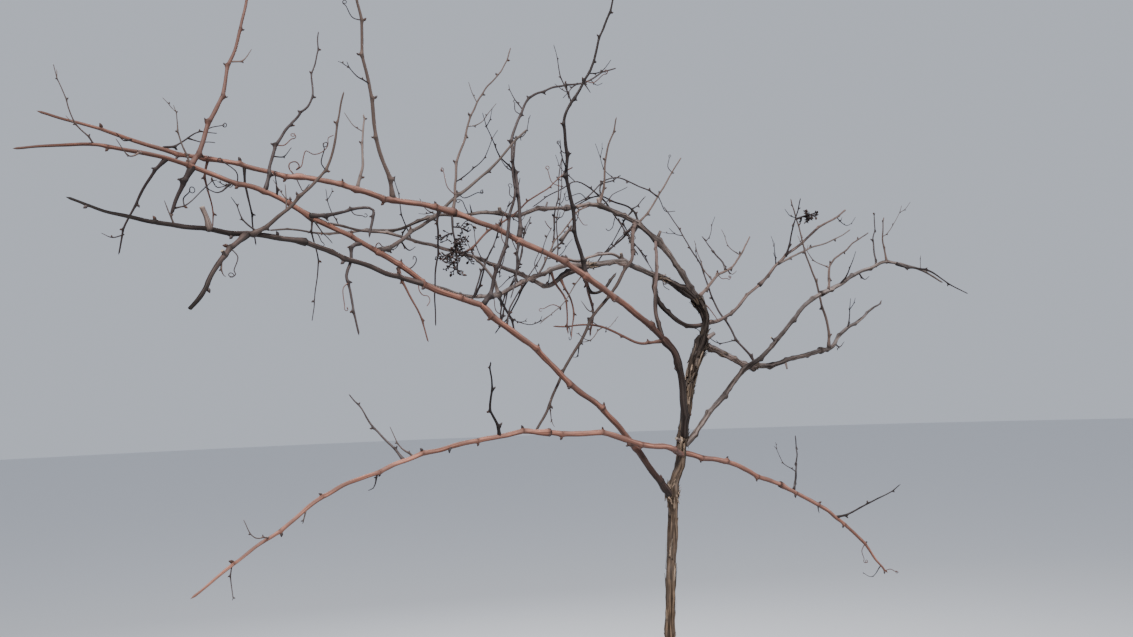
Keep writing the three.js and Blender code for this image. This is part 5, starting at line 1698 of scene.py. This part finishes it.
def pale_floor():
    bm = bmesh.new()
    bmesh.ops.create_circle(bm, cap_ends=True, segments=64, radius=FLOOR_RADIUS)
    mesh = bpy.data.meshes.new("floor")
    bm.to_mesh(mesh)
    bm.free()
    floor = bpy.data.objects.new("floor", mesh)
    bpy.context.scene.collection.objects.link(floor)
    material = bpy.data.materials.new("Floor")
    material.use_nodes = True
    shader = material.node_tree.nodes["Principled BSDF"]
    shader.inputs["Base Color"].default_value = FLOOR_COLOUR
    shader.inputs["Roughness"].default_value = 0.9
    mesh.materials.append(material)


def pale_surroundings():
    world = bpy.data.worlds.new("Surroundings")
    world.use_nodes = True
    background = world.node_tree.nodes["Background"]
    background.inputs["Color"].default_value = SKY_COLOUR
    background.inputs["Strength"].default_value = SKY_STRENGTH
    bpy.context.scene.world = world


def eye_level_camera():
    """Stands where the photograph was taken from, and sees what it shows."""
    lens = bpy.data.cameras.new("camera")
    lens.sensor_width = SENSOR_WIDTH
    lens.lens = SENSOR_WIDTH * FOCAL_LENGTH / PHOTO_WIDTH
    lens.clip_end = 200
    camera = bpy.data.objects.new("camera", lens)
    heading = Matrix.Rotation(math.radians(HEADING), 4, "Z")
    pitch = Matrix.Rotation(math.radians(90 + PITCH), 4, "X")
    roll = Matrix.Rotation(math.radians(ROLL), 4, "Z")
    camera.matrix_world = Matrix.Translation(EYE) @ heading @ pitch @ roll
    bpy.context.scene.collection.objects.link(camera)
    bpy.context.scene.camera = camera


def build_stage(sizes, colours):
    pale_floor()
    pale_surroundings()
    for name, values in LAMPS.items():
        studio_light(name, *values)
    eye_level_camera()


# The add-on


class GrapevineSizes(bpy.types.PropertyGroup):
    trunk_relief: FloatProperty(
        name="Trunk relief",
        description="Depth of the furrows in the trunk's bark",
        default=0.0015,
        unit="LENGTH",
    )
    arm_relief: FloatProperty(
        name="Arm relief",
        description="Depth of the furrows in the old arms' bark",
        default=0.001,
        unit="LENGTH",
    )
    bud_scale: FloatProperty(
        name="Bud scale",
        description="Length of the buds, against their usual length",
        default=1.0,
        min=0.2,
        max=2.0,
    )


def colour_property(name, description, screen_value):
    return FloatVectorProperty(
        name=name,
        description=description,
        subtype="COLOR",
        size=3,
        min=0,
        max=1,
        default=linear(*screen_value),
    )


class GrapevineColours(bpy.types.PropertyGroup):
    trunk: colour_property("Trunk", "Bark of the trunk", (96, 80, 66))
    arm: colour_property("Arms", "Bark of the old arms", (110, 95, 90))
    young_arm: colour_property("Young arms", "Bark of the arms a few years old", (92, 79, 76))
    # Colour of the top of old wood: partly weathered grey bark, partly a painted highlight
    old_top: colour_property("Weathered, highlit old wood", "Greyed upper side of old wood, with a painted highlight", (126, 119, 121))
    cane: colour_property("Canes", "Bark of last summer's canes", (127, 87, 75))
    # Colour of the top of the canes: partly weathered grey bark, partly a painted highlight
    cane_top: colour_property("Weathered, highlit canes", "Greyed upper side of the canes, with a painted highlight", (124, 103, 100))
    light_shoot: colour_property("Light shoots", "Bark of the pale shoots", (97, 82, 77))
    red_shoot: colour_property("Red shoots", "Bark of the reddish laterals", (88, 62, 55))
    dark_shoot: colour_property("Dark shoots", "Bark of the dark shoots", (50, 41, 41))
    bud: colour_property("Buds", "Scales of the buds", (60, 44, 39))
    cut_wood: colour_property("Cut ends", "Wood of the cut ends", (146, 132, 113))
    stalk: colour_property("Dry stalks", "Stalks of the dried clusters", (38, 32, 33))
    dry_berry: colour_property("Dry berries", "Shrivelled skins in the clusters", (66, 48, 42))
    peel: colour_property("Peeling bark", "Loose strips of old bark", (116, 100, 86))


class BuildOperator:
    """What every operator of this file shares: it builds its pieces in the scene's measures."""

    bl_options = {"REGISTER", "UNDO"}

    def execute(self, context):
        for build in self.builders:
            build(context.scene.grapevine_sizes, context.scene.grapevine_colours)
        return {"FINISHED"}


class GRAPEVINE_OT_stage(BuildOperator, bpy.types.Operator):
    """Set up the floor, the light and the camera"""

    bl_idname = "grapevine.stage"
    bl_label = "Stage"
    builders = (build_stage,)


class GRAPEVINE_OT_trunk(BuildOperator, bpy.types.Operator):
    """Model the trunk with its root flare, furrows and dark head"""

    bl_idname = "grapevine.trunk"
    bl_label = "Trunk"
    builders = (build_trunk,)


class GRAPEVINE_OT_old_arms(BuildOperator, bpy.types.Operator):
    """Model the old arms that spring from the head"""

    bl_idname = "grapevine.old_arms"
    bl_label = "Old arms"
    builders = (build_old_arms,)


class GRAPEVINE_OT_long_canes(BuildOperator, bpy.types.Operator):
    """Model the long reddish canes"""

    bl_idname = "grapevine.long_canes"
    bl_label = "Long canes"
    builders = (build_long_canes,)


class GRAPEVINE_OT_shoots(BuildOperator, bpy.types.Operator):
    """Model the light and dark shoots"""

    bl_idname = "grapevine.shoots"
    bl_label = "Shoots"
    builders = (build_light_shoots, build_dark_shoots)


class GRAPEVINE_OT_fine_twigs(BuildOperator, bpy.types.Operator):
    """Grow the fine twigs by the solids' rule, and finer spurs on them"""

    bl_idname = "grapevine.fine_twigs"
    bl_label = "Fine twigs"
    builders = (build_fine_twigs,)


class GRAPEVINE_OT_buds(BuildOperator, bpy.types.Operator):
    """Set a bud on every node"""

    bl_idname = "grapevine.buds"
    bl_label = "Buds"
    builders = (build_buds,)


class GRAPEVINE_OT_clusters(BuildOperator, bpy.types.Operator):
    """Model the dried clusters"""

    bl_idname = "grapevine.clusters"
    bl_label = "Dried clusters"
    builders = (build_clusters,)


class GRAPEVINE_OT_spurs(BuildOperator, bpy.types.Operator):
    """Set the short cut stubs on the arms"""

    bl_idname = "grapevine.spurs"
    bl_label = "Spurs"
    builders = (build_spurs,)


class GRAPEVINE_OT_tendrils(BuildOperator, bpy.types.Operator):
    """Wind the dry tendrils"""

    bl_idname = "grapevine.tendrils"
    bl_label = "Tendrils"
    builders = (build_tendrils,)


class GRAPEVINE_OT_peeling_bark(BuildOperator, bpy.types.Operator):
    """Lift the loose strips of old bark"""

    bl_idname = "grapevine.peeling_bark"
    bl_label = "Peeling bark"
    builders = (build_peeling_bark,)


STEPS = (
    GRAPEVINE_OT_stage,
    GRAPEVINE_OT_trunk,
    GRAPEVINE_OT_old_arms,
    GRAPEVINE_OT_long_canes,
    GRAPEVINE_OT_shoots,
    GRAPEVINE_OT_fine_twigs,
    GRAPEVINE_OT_buds,
    GRAPEVINE_OT_clusters,
    GRAPEVINE_OT_spurs,
    GRAPEVINE_OT_tendrils,
    GRAPEVINE_OT_peeling_bark,
)


class GRAPEVINE_PT_panel(bpy.types.Panel):
    """The grapevine's sizes, colours and steps"""

    bl_label = "Grapevine"
    bl_idname = "GRAPEVINE_PT_panel"
    bl_space_type = "VIEW_3D"
    bl_region_type = "UI"
    bl_category = "Grapevine"

    def draw(self, context):
        layout = self.layout
        for group in (context.scene.grapevine_sizes, context.scene.grapevine_colours):
            for name in group.__annotations__:
                layout.prop(group, name)
        for step in STEPS:
            layout.operator(step.bl_idname)


CLASSES = (GrapevineSizes, GrapevineColours, *STEPS, GRAPEVINE_PT_panel)


def register():
    for each in CLASSES:
        bpy.utils.register_class(each)
    bpy.types.Scene.grapevine_sizes = PointerProperty(type=GrapevineSizes)
    bpy.types.Scene.grapevine_colours = PointerProperty(type=GrapevineColours)


def unregister():
    del bpy.types.Scene.grapevine_colours
    del bpy.types.Scene.grapevine_sizes
    for each in reversed(CLASSES):
        bpy.utils.unregister_class(each)


def main():
    register()
    bpy.ops.grapevine.stage()
    bpy.ops.grapevine.trunk()
    bpy.ops.grapevine.old_arms()
    bpy.ops.grapevine.long_canes()
    bpy.ops.grapevine.shoots()
    bpy.ops.grapevine.fine_twigs()
    bpy.ops.grapevine.buds()
    bpy.ops.grapevine.clusters()
    bpy.ops.grapevine.spurs()
    bpy.ops.grapevine.tendrils()
    bpy.ops.grapevine.peeling_bark()


if __name__ == "__main__":
    main()
